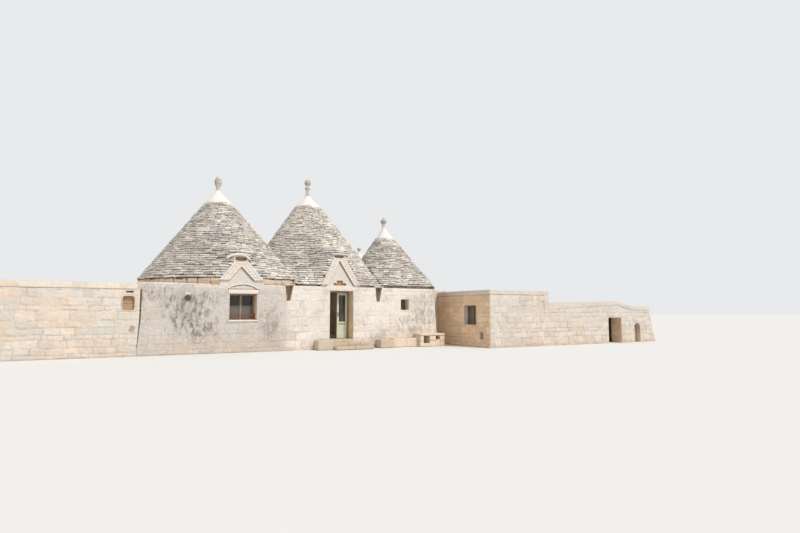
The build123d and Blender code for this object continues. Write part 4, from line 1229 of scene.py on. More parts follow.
class TRULLO_OT_front_walls(bpy.types.Operator):
    """Lays the limewashed fronts and the gutter stones between them"""
    bl_idname = "trullo.front_walls"
    bl_label = "House fronts"

    def execute(self, context):
        lintel_foot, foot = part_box("door_lintel")[0].z, GROUND + 0.004
        a_holes = [SPOUT] + [hole(node) for node in ("window_lintel", "window_sill", "window_frame")]
        holes = [(DOOR_LEFT, DOOR_RIGHT, GROUND, lintel_foot), hole("door_lintel")[:3] + (WALL_TOP,),
                 hole("small_window")] + [recess + (RECESS_LEVEL, WALL_TOP) for recess in RECESSES]
        surfaced("front_face_a", "limewash",
                 [wall_face(FRONT, 0, (A_LEFT, AB_LEFT), (foot, WALL_TOP), a_holes, right_of_crack)],
                 WASHED, 11)
        surfaced("front_face_bc", "limewash",
                 [wall_face(FRONT, 0, (AB_LEFT, C_RIGHT), (foot, WALL_TOP), holes, taper_recesses)],
                 WASHED, 12)
        self.gutters()
        self.head_stones()
        self.crack()
        rim_frame("spout_rim", "limewash", *middle_of(SPOUT), 0.11, 0.11, 2.6, -0.022)
        finish_nodes("mortar", "front_wall_a", "front_wall_b_left", "front_wall_b_right", "front_wall_c")
        # The party walls take a finish darkened as painted shade for the recess backs
        finish_nodes("party", "party_wall_ab", "party_wall_bc")
        return {"FINISHED"}

    def gutters(self):
        """The stones that close the recesses over their heads, under the valleys."""
        boxes = []
        for left, right in RECESSES:
            joint = (left + right) / 2 + 0.03
            boxes += [((left - 0.09, -0.05, WALL_TOP - 0.02), (joint, 0.5, WALL_TOP + 0.10)),
                      ((joint, -0.03, WALL_TOP - 0.01), (right + 0.10, 0.5, WALL_TOP + 0.08))]
        rounded_blocks("gutter_stones", "rubble", boxes, 0.03, 0.06, 0.012, 16)

    def head_stones(self):
        """Bare brown stones: two in the wall head, left of the window's gable, and the back of the spout
        hole. Over the hole lies a pale one."""
        left, right, foot, head = SPOUT
        boxes = [((-5.68, -0.020, WALL_TOP - 0.01), (-5.26, 0.1, WALL_TOP + 0.09)),
                 ((-5.23, -0.024, WALL_TOP - 0.065), (-4.89, 0.1, WALL_TOP + 0.13)),
                 ((left - 0.01, 0.15, foot - 0.01), (right + 0.01, 0.21, head + 0.01))]
        rounded_blocks("head_stones", "shaded", boxes, 0.02, 0.05, 0.008, 17)
        over = [((left + 0.01, -0.034, head + 0.002), (right + 0.015, 0.05, head + 0.10))]
        rounded_blocks("spout_head", "screed", over, 0.02, 0.03, 0.004, 18)

    def crack(self):
        """The crack beside the annex, its bottom painted dark as the shade in it: a flat section carried down
        its line.
        """
        rows = 24
        level = np.linspace(2.29, 0.3, rows)[:, None]
        line, wide = crack_line(level)
        side, out = np.array([(-1.0, 0.0), (-1.0, -0.003), (1.0, -0.003), (1.0, 0.0)]).T
        points = xyz(line + side * (wide / 2 + 0.012), out, level)
        make_piece("front_crack", (points, closed_strip_quads(rows, len(side))), "shadow",
                   tone=0.5)


class TRULLO_OT_rear_walls(bpy.types.Operator):
    """Lays the rubble of the sides and back of the house"""
    bl_idname = "trullo.rear_walls"
    bl_label = "Sides and back"

    def execute(self, context):
        (a_left, _, _), (a_right, a_back, _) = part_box("rear_walls_a")
        (b_left, _, _), (b_right, b_back, _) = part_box("back_wall_b")
        (d_left, _, _), (d_right, d_back, _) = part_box("rear_walls_d")
        annex_back, wing_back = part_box("annex_walls")[1].y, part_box("wing_rear_walls")[1].y
        faces = [wall_face(out, plane, span, (GROUND, WALL_TOP)) for out, plane, span in (
            (LEFT, a_left, (annex_back, a_back)), (BACK, a_back, (a_left, a_right)),
            (RIGHT, a_right, (b_back, a_back)), (BACK, b_back, (b_left, b_right)),
            (LEFT, d_left, (b_back, d_back)), (BACK, d_back, (d_left, d_right)),
            (RIGHT, d_right, (wing_back, d_back)))]
        facing("rear_rubble", "rubble", "rough_stone", faces, 0.19, 0.34, 0.022, 21, joint=0.007, rough=0.006,
               wobble=0.012)
        finish_nodes("mortar", "rear_walls_a", "back_wall_b", "rear_walls_d", "side_wall_c", "party_wall_cd")
        return {"FINISHED"}


class TRULLO_OT_annex(bpy.types.Operator):
    """Lays the coursed blocks of the left annex and finishes its roof"""
    bl_idname = "trullo.annex"
    bl_label = "Annex"

    def execute(self, context):
        low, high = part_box("annex_walls")
        roof_low, roof_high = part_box("annex_roof")
        niche = (-8.095, -7.705, 1.54, 2.07)
        slit = (-7.98, -7.76, 2.165, 2.23)
        deep = 0.14
        levels = (GROUND + 0.004, high.z)
        surfaced("annex_front", "annex",
                 [wall_face(FRONT, low.y, (low.x, high.x), levels, [niche, slit], left_of_crack),
                  wall_face(LEFT, low.x, (low.y, high.y), levels)], ROUGH, 31)
        edge = dict(ROOF_EDGE, length=1.3, bare=-0.6)
        levels = (roof_low.z, roof_high.z)
        surfaced("annex_roof_edge", "coping",
                 [wall_face(FRONT, roof_low.y, (roof_low.x, roof_high.x), levels),
                  wall_face(LEFT, roof_low.x, (roof_low.y, roof_high.y), levels)], edge, 33)
        back = [wall_face(BACK, high.y, (low.x, high.x), (GROUND, high.z))]
        facing("annex_back", "annex", "annex_stone", back, 0.25, 0.5, 0.016, 31, joint=0.005)
        facing("blocked_niche", "shaded", "rough_stone",
               [wall_face(FRONT, low.y + deep, niche[:2], niche[2:])], 0.27, 0.4, 0.02, 32)
        rim_frame("niche_rim", "annex", *middle_of(niche), 0.195, 0.265, 6.0, -0.020, deep)
        finish_nodes("mortar", "annex_walls")
        finish_nodes("screed", "annex_roof")
        return {"FINISHED"}


# The wing's roof: its thickness, the X where it steps down, its levels left and right of that, and its ridge
WING_ROOF, WING_STEP = 0.18, 8.90
WING_TOP, WING_LOW, WING_RIDGE = 2.45, 1.80, 2.05
WING_RIDGE_X, WING_RIDGE_END = 13.60, 14.70


class TRULLO_OT_wing(bpy.types.Operator):
    """Lays the coursed blocks of the right wing and finishes its roof"""
    bl_idname = "trullo.wing"
    bl_label = "Wing"

    def execute(self, context):
        (left, side_front, _), (_, side_back, high_top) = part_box("wing_side_wall")
        (_, front, _), (right, front_back, _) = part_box("wing_front_wall")
        rear, roof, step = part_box("wing_rear_walls")[1].y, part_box("wing_roof"), WING_STEP - 0.25
        low_top, high_ridge = WING_LOW - WING_ROOF, WING_RIDGE - WING_ROOF
        doorway, niche = (12.945, 13.895, 0.0, 1.23), (14.89, 15.35, 0.0, 0.96)
        pocket = (-2.32, -2.08, 0.34, 0.64)
        end, foot, batter = roof[1].x - 0.03, 1.35, 0.45

        def top(x):
            """Level of the wall head: high left of the step, and with a low ridge right of it."""
            line = np.interp(x, (step, WING_RIDGE_X, WING_RIDGE_END), (low_top, high_ridge, low_top))
            return np.where(x < step + 0.001, high_top, line)

        def follow_top(x, z):
            """Over the doorway the grid is squeezed under the roof line, and the right end leans outwards."""
            squeezed = foot + (z - foot) * (top(x) - foot) / (high_top - foot)
            z = np.where(z > foot, squeezed, z)
            return x + batter * (1 - z / low_top) * near(x, end, 1.2), z

        def batter_line(z):
            """X of the right end, which leans outwards towards its foot."""
            return end + batter * (1 - z / low_top) - 0.02

        levels = (GROUND + 0.004, high_top)
        surfaced("wing_front", "wing",
                 [wall_face(FRONT, front, (left, end), levels, [doorway, niche], follow_top,
                            [step, step + 0.003])], dict(ROUGH, step=0.034), 41)
        surfaced("wing_side", "wing_side",
                 [wall_face(LEFT, left, (side_front, side_back), levels, [hole("wing_window", 1), pocket])],
                 ROUGH, 42)
        back = [wall_face(BACK, rear, (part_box("rear_walls_d")[1].x, step), (GROUND, high_top), top=top),
                wall_face(BACK, rear, (step, right), (GROUND, high_ridge), top=top, end=batter_line)]
        facing("wing_back_rubble", "rubble", "rough_stone", back, 0.2, 0.36, 0.02, 43, joint=0.007,
               rough=0.006, wobble=0.012)
        self.battered_end(wall_face(RIGHT, end, (side_front, rear), (GROUND + 0.004, low_top)), batter)
        facing("wing_door_jambs", "jamb", "rough_stone", jambs(doorway, front_back, front + 0.005), 0.3, 0.34,
               0.008, 46, rough=0.001, wobble=0.002)
        back_y = front + 0.25
        boxes = [((niche[0], back_y - 0.03, foot), (niche[1], back_y - 0.001, head))
                 for foot, head in ((0.002, 0.5), (0.5, 0.97))]
        rounded_blocks("wing_niche_back", "shaded", boxes, 0.012, 0.08, 0.006, 47)
        self.roof_edge(*roof)
        finish_nodes("mortar", "wing_side_wall", "wing_front_wall", "wing_rear_walls")
        finish_nodes("screed", "wing_roof")
        finish_nodes("shutter", "wing_window")
        return {"FINISHED"}

    def battered_end(self, face, batter):
        """The sloping right end: the grid stands on a plane that leans outwards from its top to its foot."""
        points, quads, fields = coursed_surface(face, 44, **dict(ROUGH, base=0.004, relief=0.014))
        points = stand_on_wall(points, face)
        points[:, 0] += batter * (1 - points[:, 2] / face.levels[1])
        make_piece("wing_end", (points, quads, fields), "wing", smooth=True)

    def roof_edge(self, low, high):
        """The rough stone edge of the roof along the front and the left side."""
        edge = dict(ROOF_EDGE, length=0.9, bare=-0.4, step=0.05)
        breaks = [WING_STEP - 0.001, WING_STEP]

        def follow(x, z):
            """The grid lies between the roof line and the line of its thickness below."""
            line = np.interp(x, (*breaks, WING_RIDGE_X, WING_RIDGE_END),
                             (WING_TOP, WING_LOW, WING_RIDGE, WING_LOW))
            return x, line - WING_ROOF * (1 - z)

        surfaced("wing_roof_edge", "wing",
                 [wall_face(FRONT, low.y, (low.x, high.x), (0.0, 1.0), breaks=breaks, move=follow),
                  wall_face(LEFT, low.x, (low.y, high.y), (WING_TOP - WING_ROOF, WING_TOP))], edge, 45)


# Gables

def band_slabs(gable, side, layers, pieces, rng):
    """Corners of the slabs of one band: layers across it, and pieces along its slope."""
    foot_out = np.array([gable.x + side * gable.half, gable.foot])
    foot_in = np.array([gable.x + side * gable.wall, gable.foot])
    top_in = np.array([gable.top_x, gable.apex])
    top_out = np.array([gable.top_x + side * gable.shoulder, gable.slope_top])
    corners = []
    for layer in range(layers):
        near, far = layer / layers, (layer + 1) / layers
        cuts = np.concatenate([[0], np.sort(rng.uniform(0.1, 0.9, pieces - 1)), [1]])
        cuts = 0.5 * cuts + 0.5 * np.linspace(0, 1, pieces + 1)
        for low, high in zip(cuts[:-1] + 0.004, cuts[1:] - 0.004):
            quad = []
            inside, outside = near + 0.03, far - 0.03
            for across, along in ((inside, low), (outside, low), (outside, high), (inside, high)):
                foot = foot_in + (foot_out - foot_in) * across
                head = top_in + (top_out - top_in) * across
                quad.append(foot + (head - foot) * along)
            corners.append(quad if side > 0 else [quad[1], quad[0], quad[3], quad[2]])
    return np.array(corners)


def arc_strip(left, middle, right, section, count):
    """A (out, up) section carried along the circle arc through three (X, Z) points."""
    a, b, c = (np.array(p, float) for p in (left, middle, right))
    matrix = 2 * np.array([b - a, c - b])
    centre = np.linalg.solve(matrix, np.array([b @ b - a @ a, c @ c - b @ b]))
    radius = np.linalg.norm(a - centre)
    first, last = (math.atan2(*(p - centre)[::-1]) for p in (a, c))
    turn = np.linspace(first, last, count)[:, None]
    out, up = np.array(section).T
    x = centre[0] + (radius + up) * np.cos(turn)
    z = centre[1] + (radius + up) * np.sin(turn)
    return xyz(x, -out, z)


def closed_strip_quads(rows, columns):
    """Faces of a strip with a closed four-cornered section and both ends shut."""
    ends = np.array([[3, 2, 1, 0], [0, 1, 2, 3]])
    ends[1] += (rows - 1) * columns
    return np.concatenate([grid_quads(rows, columns, wrap_columns=True), ends])


def rounded_block(low, high, radius, step, rough, seed):
    """A block with rounded, worn edges: an inner box grown by a ball, then moved by noise along its
    normal."""
    low, high = np.array(low, float), np.array(high, float)
    radius = min(radius, float((high - low).min()) * 0.45)
    lines = [np.concatenate([[a], np.linspace(a + radius, b - radius, max(int((b - a) / step), 1) + 1), [b]])
             for a, b in zip(low, high)]
    sides = []
    for axis in range(3):
        others = [k for k in range(3) if k != axis]
        u, v = np.meshgrid(*(lines[k] for k in others), indexing="ij")
        for side in (0, 1):
            face = np.empty(u.shape + (3,))
            face[..., axis] = (low, high)[side][axis]
            face[..., others[0]], face[..., others[1]] = u, v
            quads = grid_quads(*u.shape)
            sides.append((face, quads[:, ::-1] if (side == 1) == (axis == 1) else quads, {}))
    points, quads, _ = joined(sides)
    _, kept, renumbered = np.unique(np.round(points, 6), axis=0, return_index=True, return_inverse=True)
    points, quads = points[kept], renumbered.ravel()[quads]
    core = np.clip(points, low + radius, high - radius)
    away = points - core
    normal = away / np.maximum(np.linalg.norm(away, axis=1, keepdims=True), 1e-9)
    shift = rough * smooth_noise(points, 0.34, seed) + 0.4 * rough * smooth_noise(points, 0.09, seed + 1)
    return core + normal * (radius - rough + np.minimum(shift, rough)[:, None]), quads


def rounded_blocks(name, finish, boxes, radius, step, rough, seed, replaces=(), body=HOUSE):
    """One piece made of several worn blocks, each of one tone."""
    rng = np.random.default_rng(seed)
    parts = []
    for number, (low, high) in enumerate(boxes):
        points, quads = rounded_block(low, high, radius, step, rough, seed + 3 * number)
        parts.append((points, quads, even(points, rng.uniform(0.2, 0.8))))
    make_piece(name, joined(parts), finish, body, replaces, smooth=True)


def middle_of(opening):
    """The middle of an opening, along and up."""
    left, right, foot, head = opening
    return (left + right) / 2, (foot + head) / 2


def rim_frame(name, finish, x, level, half, rise, power, front, deep=0.30, inner=0.97):
    """A stone frame that rounds off a rectangular hole in a front: its outside follows the rectangle, and
    along its hole |x / half width| and |z / half height| to a power sum to one."""
    around = 64
    turn = full_turn(around)
    cos, sin = np.cos(turn), np.sin(turn)
    rounded = (np.abs(cos) ** power + np.abs(sin) ** power) ** (-1 / power)
    square = 1 / np.maximum(np.abs(cos), np.abs(sin))
    loops = [xyz(x + half * share * size * cos, y, level + rise * share * size * sin)
             for size, share, y in (
                 (square, 1.03, deep), (square, 1.03, front), (rounded, inner, front - 0.006),
                 (rounded, inner - 0.05, front + 0.026), (rounded, inner - 0.05, deep))]
    quads = grid_quads(len(loops), around, wrap_rows=True, wrap_columns=True)[:, ::-1]
    make_piece(name, (loops, quads), finish, tone=0.5)


class TRULLO_OT_gables(bpy.types.Operator):
    """Builds the band slabs, hoods, slots and window moulding, and finishes the tympanum blocks"""
    bl_idname = "trullo.gables"
    bl_label = "Gables"

    def execute(self, context):
        face = wall_face(FRONT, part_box("gable_slabs")[0].y, None, None)
        for number, gable in enumerate(GABLES):
            rng = np.random.default_rng(70 + number)
            corners = np.concatenate([band_slabs(gable, side, 3, 4, rng) for side in (-1, 1)])
            blocks, fields = cushion_blocks(corners, 0.012, rng, rim=0.010, rough=0.002, wobble=0.004)
            quads = repeat_quads(block_quads(), len(corners), BLOCK_POINTS)
            make_piece(f"{gable.name}_gable_bands", (stand_on_wall(blocks, face), quads, fields), "cut")
            self.hood(gable, 80 + number)
            self.slot(gable)
            self.band_lines(gable)
        finish_nodes("plain_cut", "gable_slabs", "window_gable", "door_gable")
        self.moulding()
        self.niche_stain()
        return {"FINISHED"}

    def hood(self, gable, seed):
        """The slab over the vent slot, which bows up like an eyebrow over the window and is nearly flat over
        the door: level falls with the square of the distance from its crown, by one rate on each side."""
        crown, (left, right) = gable.crown + gable.top_x, gable.reach
        box = (crown - left, -0.078, gable.top + 0.012), (crown + right, 0.45, gable.top + gable.hood + 0.002)
        points, quads = rounded_block(*box, 0.02, 0.05, 0.006, seed)
        away = points[:, 0] - crown
        points[:, 2] -= np.where(away < 0, *gable.bow) * away ** 2
        make_piece(f"{gable.name}_gable_hood", (points, quads), "cut", tone=0.6, smooth=True)

    def slot(self, gable):
        """The stone that rounds off the vent slot, and the shaded stone at its back."""
        x, rise = gable.top_x, (gable.top - gable.slope_top) / 2
        middle = gable.slope_top + rise
        rim_frame(f"{gable.name}_slot_rim", "plain_cut", x, middle, gable.shoulder, rise, gable.power, -0.006,
                  inner=0.86)
        half = gable.shoulder - 0.045
        box = (x - half, 0.11, middle - rise + 0.004), (x + half, 0.14, middle + rise - 0.034)
        rounded_blocks(f"{gable.name}_slot_back", "shaded", [box], 0.008, 0.06, 0.004, 91)

    def band_lines(self, gable):
        """The lines under the bands: painted shadow under the right band, and a warm line of painted sunlight
        under the left one.
        """
        apex = np.array([gable.top_x, -0.004, gable.apex])
        for side, label, finish in ((-1, "left", "painted_sunlit_line"), (1, "right", "shadow")):
            foot = np.array([gable.x + side * gable.wall, -0.004, gable.foot])
            slope = (apex - foot) / np.linalg.norm(apex - foot)
            down = np.cross(slope, (0, 1, 0)) * side
            ends = [end + down * share + np.array([0, y, 0]) for end in (foot, apex)
                    for share, y in ((0.0, 0.0), (0.022, 0.0), (0.022, -0.006), (0.0, -0.006))]
            shape = ends, closed_strip_quads(2, 4)[:, ::-side]
            make_piece(f"{gable.name}_band_line_{label}", shape, finish, tone=0.5)

    def moulding(self):
        """The thin label over the window, and the painted shadow under it."""
        ends = ((-4.60, WINDOW_HEAD), (-4.075, 2.525), (-3.515, WINDOW_HEAD))
        count = 28
        for name, finish, section in (
                ("window_label", "cut", [(0.0, 0.012), (0.034, 0.016), (0.030, 0.055), (0.0, 0.062)]),
                ("window_label_gap", "shadow",
                 [(0.0, -0.016), (0.016, -0.014), (0.018, 0.014), (0.0, 0.016)])):
            shape = arc_strip(*ends, section, count), closed_strip_quads(count, len(section))
            make_piece(name, shape, finish, tone=0.5)

    def niche_stain(self):
        """The ochre back of the stepped niche over the door."""
        level, deep = 2.60, 0.08
        boxes = [((NICHE_X - half, deep - 0.012, level + low), (NICHE_X + half, deep - 0.001, level + high))
                 for half, low, high in ((0.275, 0.004, 0.10), (0.135, 0.10, 0.205))]
        rounded_blocks("niche_back", "ochre", boxes, 0.004, 0.06, 0.002, 90)


# Windows, door, steps and bench

class TRULLO_OT_windows(bpy.types.Operator):
    """Finishes the windows, their jambs, lintel, sill and guard"""
    bl_idname = "trullo.windows"
    bl_label = "Windows"

    def execute(self, context):
        sill_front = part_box("window_sill")[0].y + 0.002
        for name, node, front, raised, lowered, seed in (
                ("window_head_stone", "window_lintel", -0.022, 0.002, 0.004, 51),
                ("window_sill_stone", "window_sill", sill_front, 0.004, 0.001, 52)):
            (left, _, foot), (right, deep, head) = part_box(node)
            box = (left + 0.004, front, foot + raised), (right - 0.004, deep, head - lowered)
            rounded_blocks(name, "lintel", [box], 0.016, 0.06, 0.005, seed, replaces=[node])
        reveals = [side for node in ("window_frame", "small_window")
                   for side in jambs(hole(node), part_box(node)[0].y)]
        facing("window_jambs", "jamb", "rough_stone", reveals, 0.24, 0.4, 0.006, 53, joint=0.002, rough=0.001,
               wobble=0.001)
        # The frame's darker paint is partly painted shade under the lintel
        finish_nodes("worn_green_in_painted_shade", "window_frame")
        finish_nodes("glass", "window_glass")
        finish_nodes("brown", "window_guard")
        finish_nodes("shutter", "small_window")
        return {"FINISHED"}


class TRULLO_OT_door(bpy.types.Operator):
    """Finishes the door, its frame, jambs, lintel and handle"""
    bl_idname = "trullo.door"
    bl_label = "Door"

    def execute(self, context):
        (left, _, foot), (right, _, _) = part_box("door_lintel")
        box = (left + 0.004, -0.018, foot + 0.001), (right - 0.004, 0.30, 2.597)
        rounded_blocks("door_head_stone", "lintel", [box], 0.014, 0.06, 0.004, 55)
        frame_low, frame_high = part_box("door_frame")
        reveals = jambs((DOOR_LEFT, DOOR_RIGHT, FLOOR_TOP, frame_high.z), frame_low.y)
        facing("door_jambs", "jamb", "rough_stone", reveals, 0.32, 0.5, 0.007, 56, joint=0.003, rough=0.001,
               wobble=0.001)
        finish_nodes("mortar", "door_lintel")
        # The frame's darker paint is partly painted shade under the lintel
        finish_nodes("worn_green_in_painted_shade", "door_frame")
        finish_nodes("green", "door_leaf_left", "door_leaf_right")
        finish_nodes("door_glass", "door_glass_left", "door_glass_right")
        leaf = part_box("door_leaf_right")[0]
        self.handle("right_leaf", leaf)
        glass_low, glass_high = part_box("door_glass_right")
        level = glass_low.z - 0.105
        box = (glass_low.x - 0.02, leaf.y - 0.004, level), (glass_high.x + 0.02, leaf.y + 0.002, level + 0.03)
        rounded_blocks("door_rail_groove", "shutter", [box], 0.002, 0.1, 0.0, 58,
                       body="right_leaf")
        return {"FINISHED"}

    def handle(self, body, leaf):
        """A lever on a plate at the meeting edge of the closed leaf: a small section carried along a bent
        line."""
        x, y, z = leaf.x + 0.042, leaf.y, FLOOR_TOP + 1.02
        plate, plate_quads = rounded_block((x - 0.018, y - 0.005, z - 0.10), (x + 0.018, y + 0.001, z + 0.08),
                                           0.004, 0.05, 0.0, 57)
        path = np.array([(x + along, y - out, z) for along, out in (
            (0, 0.002), (0, 0.045), (0.03, 0.052), (0.11, 0.050))])[:, None]
        turn = full_turn(8)[:, None]
        sideways = np.array([(1, 0, 0), (1, 0.6, 0), (0.3, 1, 0), (0, 1, 0)], float)
        sideways /= np.linalg.norm(sideways, axis=1, keepdims=True)
        lever = path + 0.008 * np.cos(turn) * sideways[:, None] + 0.008 * np.sin(turn) * np.array([0, 0, 1.0])
        ends = np.array([[3, 2, 1, 0], [7, 4, 3, 0], [7, 6, 5, 4], [24, 25, 26, 27], [24, 27, 28, 31],
                         [28, 29, 30, 31]])
        lever_quads = np.concatenate([grid_quads(4, 8, wrap_columns=True), ends])
        shape = joined([(plate, plate_quads, {}), (lever, lever_quads, {})])
        make_piece("door_handle", shape, "iron", body)


class TRULLO_OT_steps(bpy.types.Operator):
    """Lays the door steps, the blocks beside them, the threshold and the bench"""
    bl_idname = "trullo.steps"
    bl_label = "Steps and bench"

    def execute(self, context):
        low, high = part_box("door_steps")
        top, going, rise, foot = 0.27, 0.40, 0.13, 0.002
        left, right, edge = -0.55, 1.12, 0.525
        upper = [((x0, -going, foot), (x1, -0.002, top))
                 for x0, x1 in ((left, 0.14), (0.14, 0.68), (0.68, right))]
        lower = [((x0, -2 * going, foot), (x1, -going, top - rise))
                 for x0, x1 in ((left, 0.28), (0.28, right))]
        sides = [((low.x, -0.52, foot), (left, -0.002, 0.39)), ((1.57, -0.52, foot), (high.x, -0.002, 0.35))]
        rounded_blocks("step_stones", "step", upper + lower + sides, 0.022, 0.07, 0.008, 61,
                       replaces=["door_steps"])
        boxes = [((x0, y0, foot), (x1, y1, FLOOR_TOP)) for x0, x1, y0, y1 in (
            (-edge + 0.002, 0.05, -0.06, 0.538), (0.05, edge - 0.002, -0.06, 0.538),
            (-0.62, 0.62, 0.542, 1.79))]
        rounded_blocks("threshold_stones", "step", boxes, 0.014, 0.1, 0.004, 62,
                       replaces=["threshold"])
        self.bench()
        return {"FINISHED"}

    def bench(self):
        """Squared blocks round the fire hole and the vent, under two long slabs, and the low ledge beside."""
        left, right, deep, top = 3.50, 4.76, 0.58, 0.57
        (fire_left, fire_right, fire_foot, fire_head), (vent_left, vent_right, vent_foot, vent_head) = (
            (3.67, 3.98, 0.15, 0.47), (4.30, 4.52, 0.30, 0.45))
        ground, under = 0.002, top - 0.095
        boxes = [((start, -reach, low), (end, -0.002, high)) for start, end, reach, low, high in (
            (left, fire_left, deep, ground, 0.24), (left, fire_left, deep, 0.24, under),
            (fire_left, fire_right, deep, ground, fire_foot),
            (fire_right, vent_left, deep, ground, 0.25), (fire_right, vent_left, deep, 0.25, under),
            (vent_left, vent_right, deep, ground, vent_foot), (vent_left, vent_right, deep, vent_head, under),
            (vent_right, right, deep, ground, 0.22), (vent_right, right, deep, 0.22, under),
            (fire_left, fire_right, 0.13, fire_foot, fire_head),
            (vent_left, vent_right, 0.13, vent_foot, vent_head),
            (left - 0.03, 4.10, deep + 0.03, under, top), (4.10, right, deep + 0.03, under, top),
            (2.30, 2.92, 0.35, ground, 0.38), (2.92, left, 0.35, ground, 0.38))]
        rounded_blocks("bench_stones", "bench", boxes, 0.014, 0.08, 0.005, 63,
                       replaces=["bench"])


class TRULLO_OT_inside(bpy.types.Operator):
    """Finishes the floors of the rooms"""
    bl_idname = "trullo.inside"
    bl_label = "Rooms"

    def execute(self, context):
        finish_nodes("floor", "house_floors")
        return {"FINISHED"}


# Stage

class TRULLO_OT_stage(bpy.types.Operator):
    """Sets a plain pale floor, soft light and the camera"""
    bl_idname = "trullo.stage"
    bl_label = "Stage"

    def execute(self, context):
        scene = context.scene
        self.floor()
        self.light(scene)
        self.camera(scene)
        scene.view_settings.view_transform = "Standard"
        return {"FINISHED"}

    def floor(self):
        """A wide pale square just under the ground level."""
        wide, level = 400.0, GROUND - 0.004
        corners = ((-wide, -wide), (wide, -wide), (wide, wide), (-wide, wide))
        mesh = bpy.data.meshes.new("floor")
        mesh.from_pydata([(x, y, level) for x, y in corners], [], [(0, 1, 2, 3)])
        made, shader, _ = new_material("Pale floor", 0.95, 0.0)
        feed(shader, {"Base Color": srgb(226, 224, 220)})
        mesh.materials.append(made)
        floor = bpy.data.objects.new("floor", mesh)
        bpy.context.scene.collection.objects.link(floor)

    def light(self, scene):
        """Even light from all round, a soft sun from the left and a warm lamp in the middle room."""
        world = bpy.data.worlds.new("Soft sky")
        world.use_nodes = True
        tree = world.node_tree
        tree.nodes.clear()
        sky, seen = (shader_node("Background", {"Color": colour, "Strength": strength}, tree)
                     for colour, strength in (((0.95, 0.97, 1.0, 1.0), settings().light.sky),
                                              (srgb(232, 234, 236), 1.0)))
        path = shader_node("LightPath", {}, tree)
        direct = maths("MAXIMUM", path["Is Camera Ray"],
                       maths("MAXIMUM", path["Is Glossy Ray"], path["Is Transmission Ray"]))
        both = shader_node("MixShader", {0: direct, 1: sky[0], 2: seen[0]})
        shader_node("OutputWorld", {0: both[0]})
        scene.world = world
        sun = bpy.data.lights.new("Key", "SUN")
        sun.energy, sun.angle, sun.color = settings().light.key, math.radians(14), (1.0, 0.985, 0.965)
        key = bpy.data.objects.new("Key", sun)
        key.rotation_euler = (math.radians(44), 0, math.radians(20))
        lamp = bpy.data.lights.new("Room", "POINT")
        lamp.energy, lamp.shadow_soft_size, lamp.color = 14.0, 0.4, (1.0, 0.9, 0.72)
        room = bpy.data.objects.new("Room", lamp)
        room.location = (0.3, 3.2, 1.9)
        for item in (key, room):
            scene.collection.objects.link(item)

    def camera(self, scene):
        """The photograph's camera: a 24 mm lens, turned 30 degrees right of the house's depth, tipped up a
        little."""
        data = bpy.data.cameras.new("Camera")
        data.sensor_width, data.lens, data.clip_end = 36.0, 23.985, 2000.0
        camera = bpy.data.objects.new("Camera", data)
        camera.location = (-8.99, -20.4, 1.5)
        camera.rotation_euler = (math.radians(90 + 4.9), 0, math.radians(-30))
        scene.collection.objects.link(camera)
        scene.camera = camera


# Settings

class TrulloSlabs(bpy.types.PropertyGroup):
    """Sizes of the roof slabs"""
    course_height: FloatProperty(name="Course height", description="Mean height of one course of slabs",
                                 default=0.088, min=0.04, max=0.2, unit="LENGTH")
    slab_length: FloatProperty(name="Slab length", description="Mean length of a slab along its course",
                               default=0.30, min=0.1, max=0.8, unit="LENGTH")
    slab_depth: FloatProperty(name="Slab depth", description="How far a slab reaches into the roof",
                              default=0.22, min=0.1, max=0.5, unit="LENGTH")
    raggedness: FloatProperty(name="Raggedness", description="How unevenly the lips of the slabs line up",
                              default=0.016, min=0.0, max=0.06, unit="LENGTH")


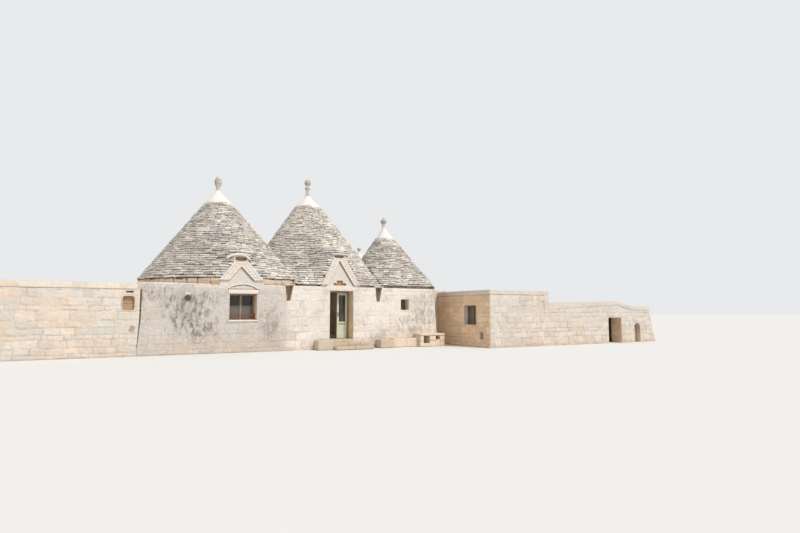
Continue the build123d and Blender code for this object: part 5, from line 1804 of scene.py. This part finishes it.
class TrulloColours(bpy.types.PropertyGroup):
    """Main colours of the finishes"""
    slab: FloatVectorProperty(name="Roof slabs", description="Colour of the roof slabs", subtype="COLOR",
                              default=srgb(226, 221, 213)[:3])
    plaster: FloatVectorProperty(name="Caps", description="Colour of the plaster caps", subtype="COLOR",
                                 default=srgb(229, 223, 217)[:3])
    limewash: FloatVectorProperty(name="Limewash", description="Colour of the limewashed fronts",
                                  subtype="COLOR", default=srgb(229, 222, 213)[:3])
    annex: FloatVectorProperty(name="Annex", description="Colour of the annex blocks", subtype="COLOR",
                               default=srgb(209, 204, 197)[:3])
    wing: FloatVectorProperty(name="Wing", description="Colour of the wing blocks", subtype="COLOR",
                              default=srgb(209, 204, 197)[:3])
    paint: FloatVectorProperty(name="Paint", description="Colour of the painted timber", subtype="COLOR",
                               default=srgb(206, 208, 183)[:3])


class TrulloLight(bpy.types.PropertyGroup):
    """Strength of the studio light"""
    sky: FloatProperty(name="Sky", description="Strength of the light from all round", default=0.70, min=0.0)
    key: FloatProperty(name="Key", description="Strength of the soft sun", default=2.2, min=0.0)


class TrulloSettings(bpy.types.PropertyGroup):
    """All settings of the trullo house"""
    slabs: PointerProperty(type=TrulloSlabs)
    colours: PointerProperty(type=TrulloColours)
    light: PointerProperty(type=TrulloLight)


OPERATORS = (
    TRULLO_OT_stage, TRULLO_OT_roofs, TRULLO_OT_caps, TRULLO_OT_pinnacles, TRULLO_OT_front_walls,
    TRULLO_OT_rear_walls, TRULLO_OT_annex, TRULLO_OT_wing, TRULLO_OT_gables, TRULLO_OT_windows,
    TRULLO_OT_door, TRULLO_OT_steps, TRULLO_OT_inside,
)


class TRULLO_PT_panel(bpy.types.Panel):
    """Lists the parts of the house in the sidebar"""
    bl_idname = "TRULLO_PT_panel"
    bl_label = "Trullo house"
    bl_space_type = "VIEW_3D"
    bl_region_type = "UI"
    bl_category = "Trullo"

    def draw(self, context):
        layout = self.layout
        for label in ("slabs", "colours", "light"):
            held = getattr(context.scene.trullo, label)
            for name in held.bl_rna.properties.keys():
                if name not in ("rna_type", "name"):
                    layout.prop(held, name)
        for operator in OPERATORS:
            layout.operator(operator.bl_idname)


CLASSES = (TrulloSlabs, TrulloColours, TrulloLight, TrulloSettings) + OPERATORS + (TRULLO_PT_panel,)


def register():
    """Makes the classes and the settings known."""
    for each in CLASSES:
        bpy.utils.register_class(each)
    bpy.types.Scene.trullo = PointerProperty(type=TrulloSettings)


def unregister():
    """Takes them away again."""
    del bpy.types.Scene.trullo
    for each in reversed(CLASSES):
        bpy.utils.unregister_class(each)


def main():
    """Builds the house."""
    register()
    for operator in OPERATORS:
        getattr(bpy.ops.trullo, operator.bl_idname.split(".")[1])()


if __name__ == "__main__":
    main()
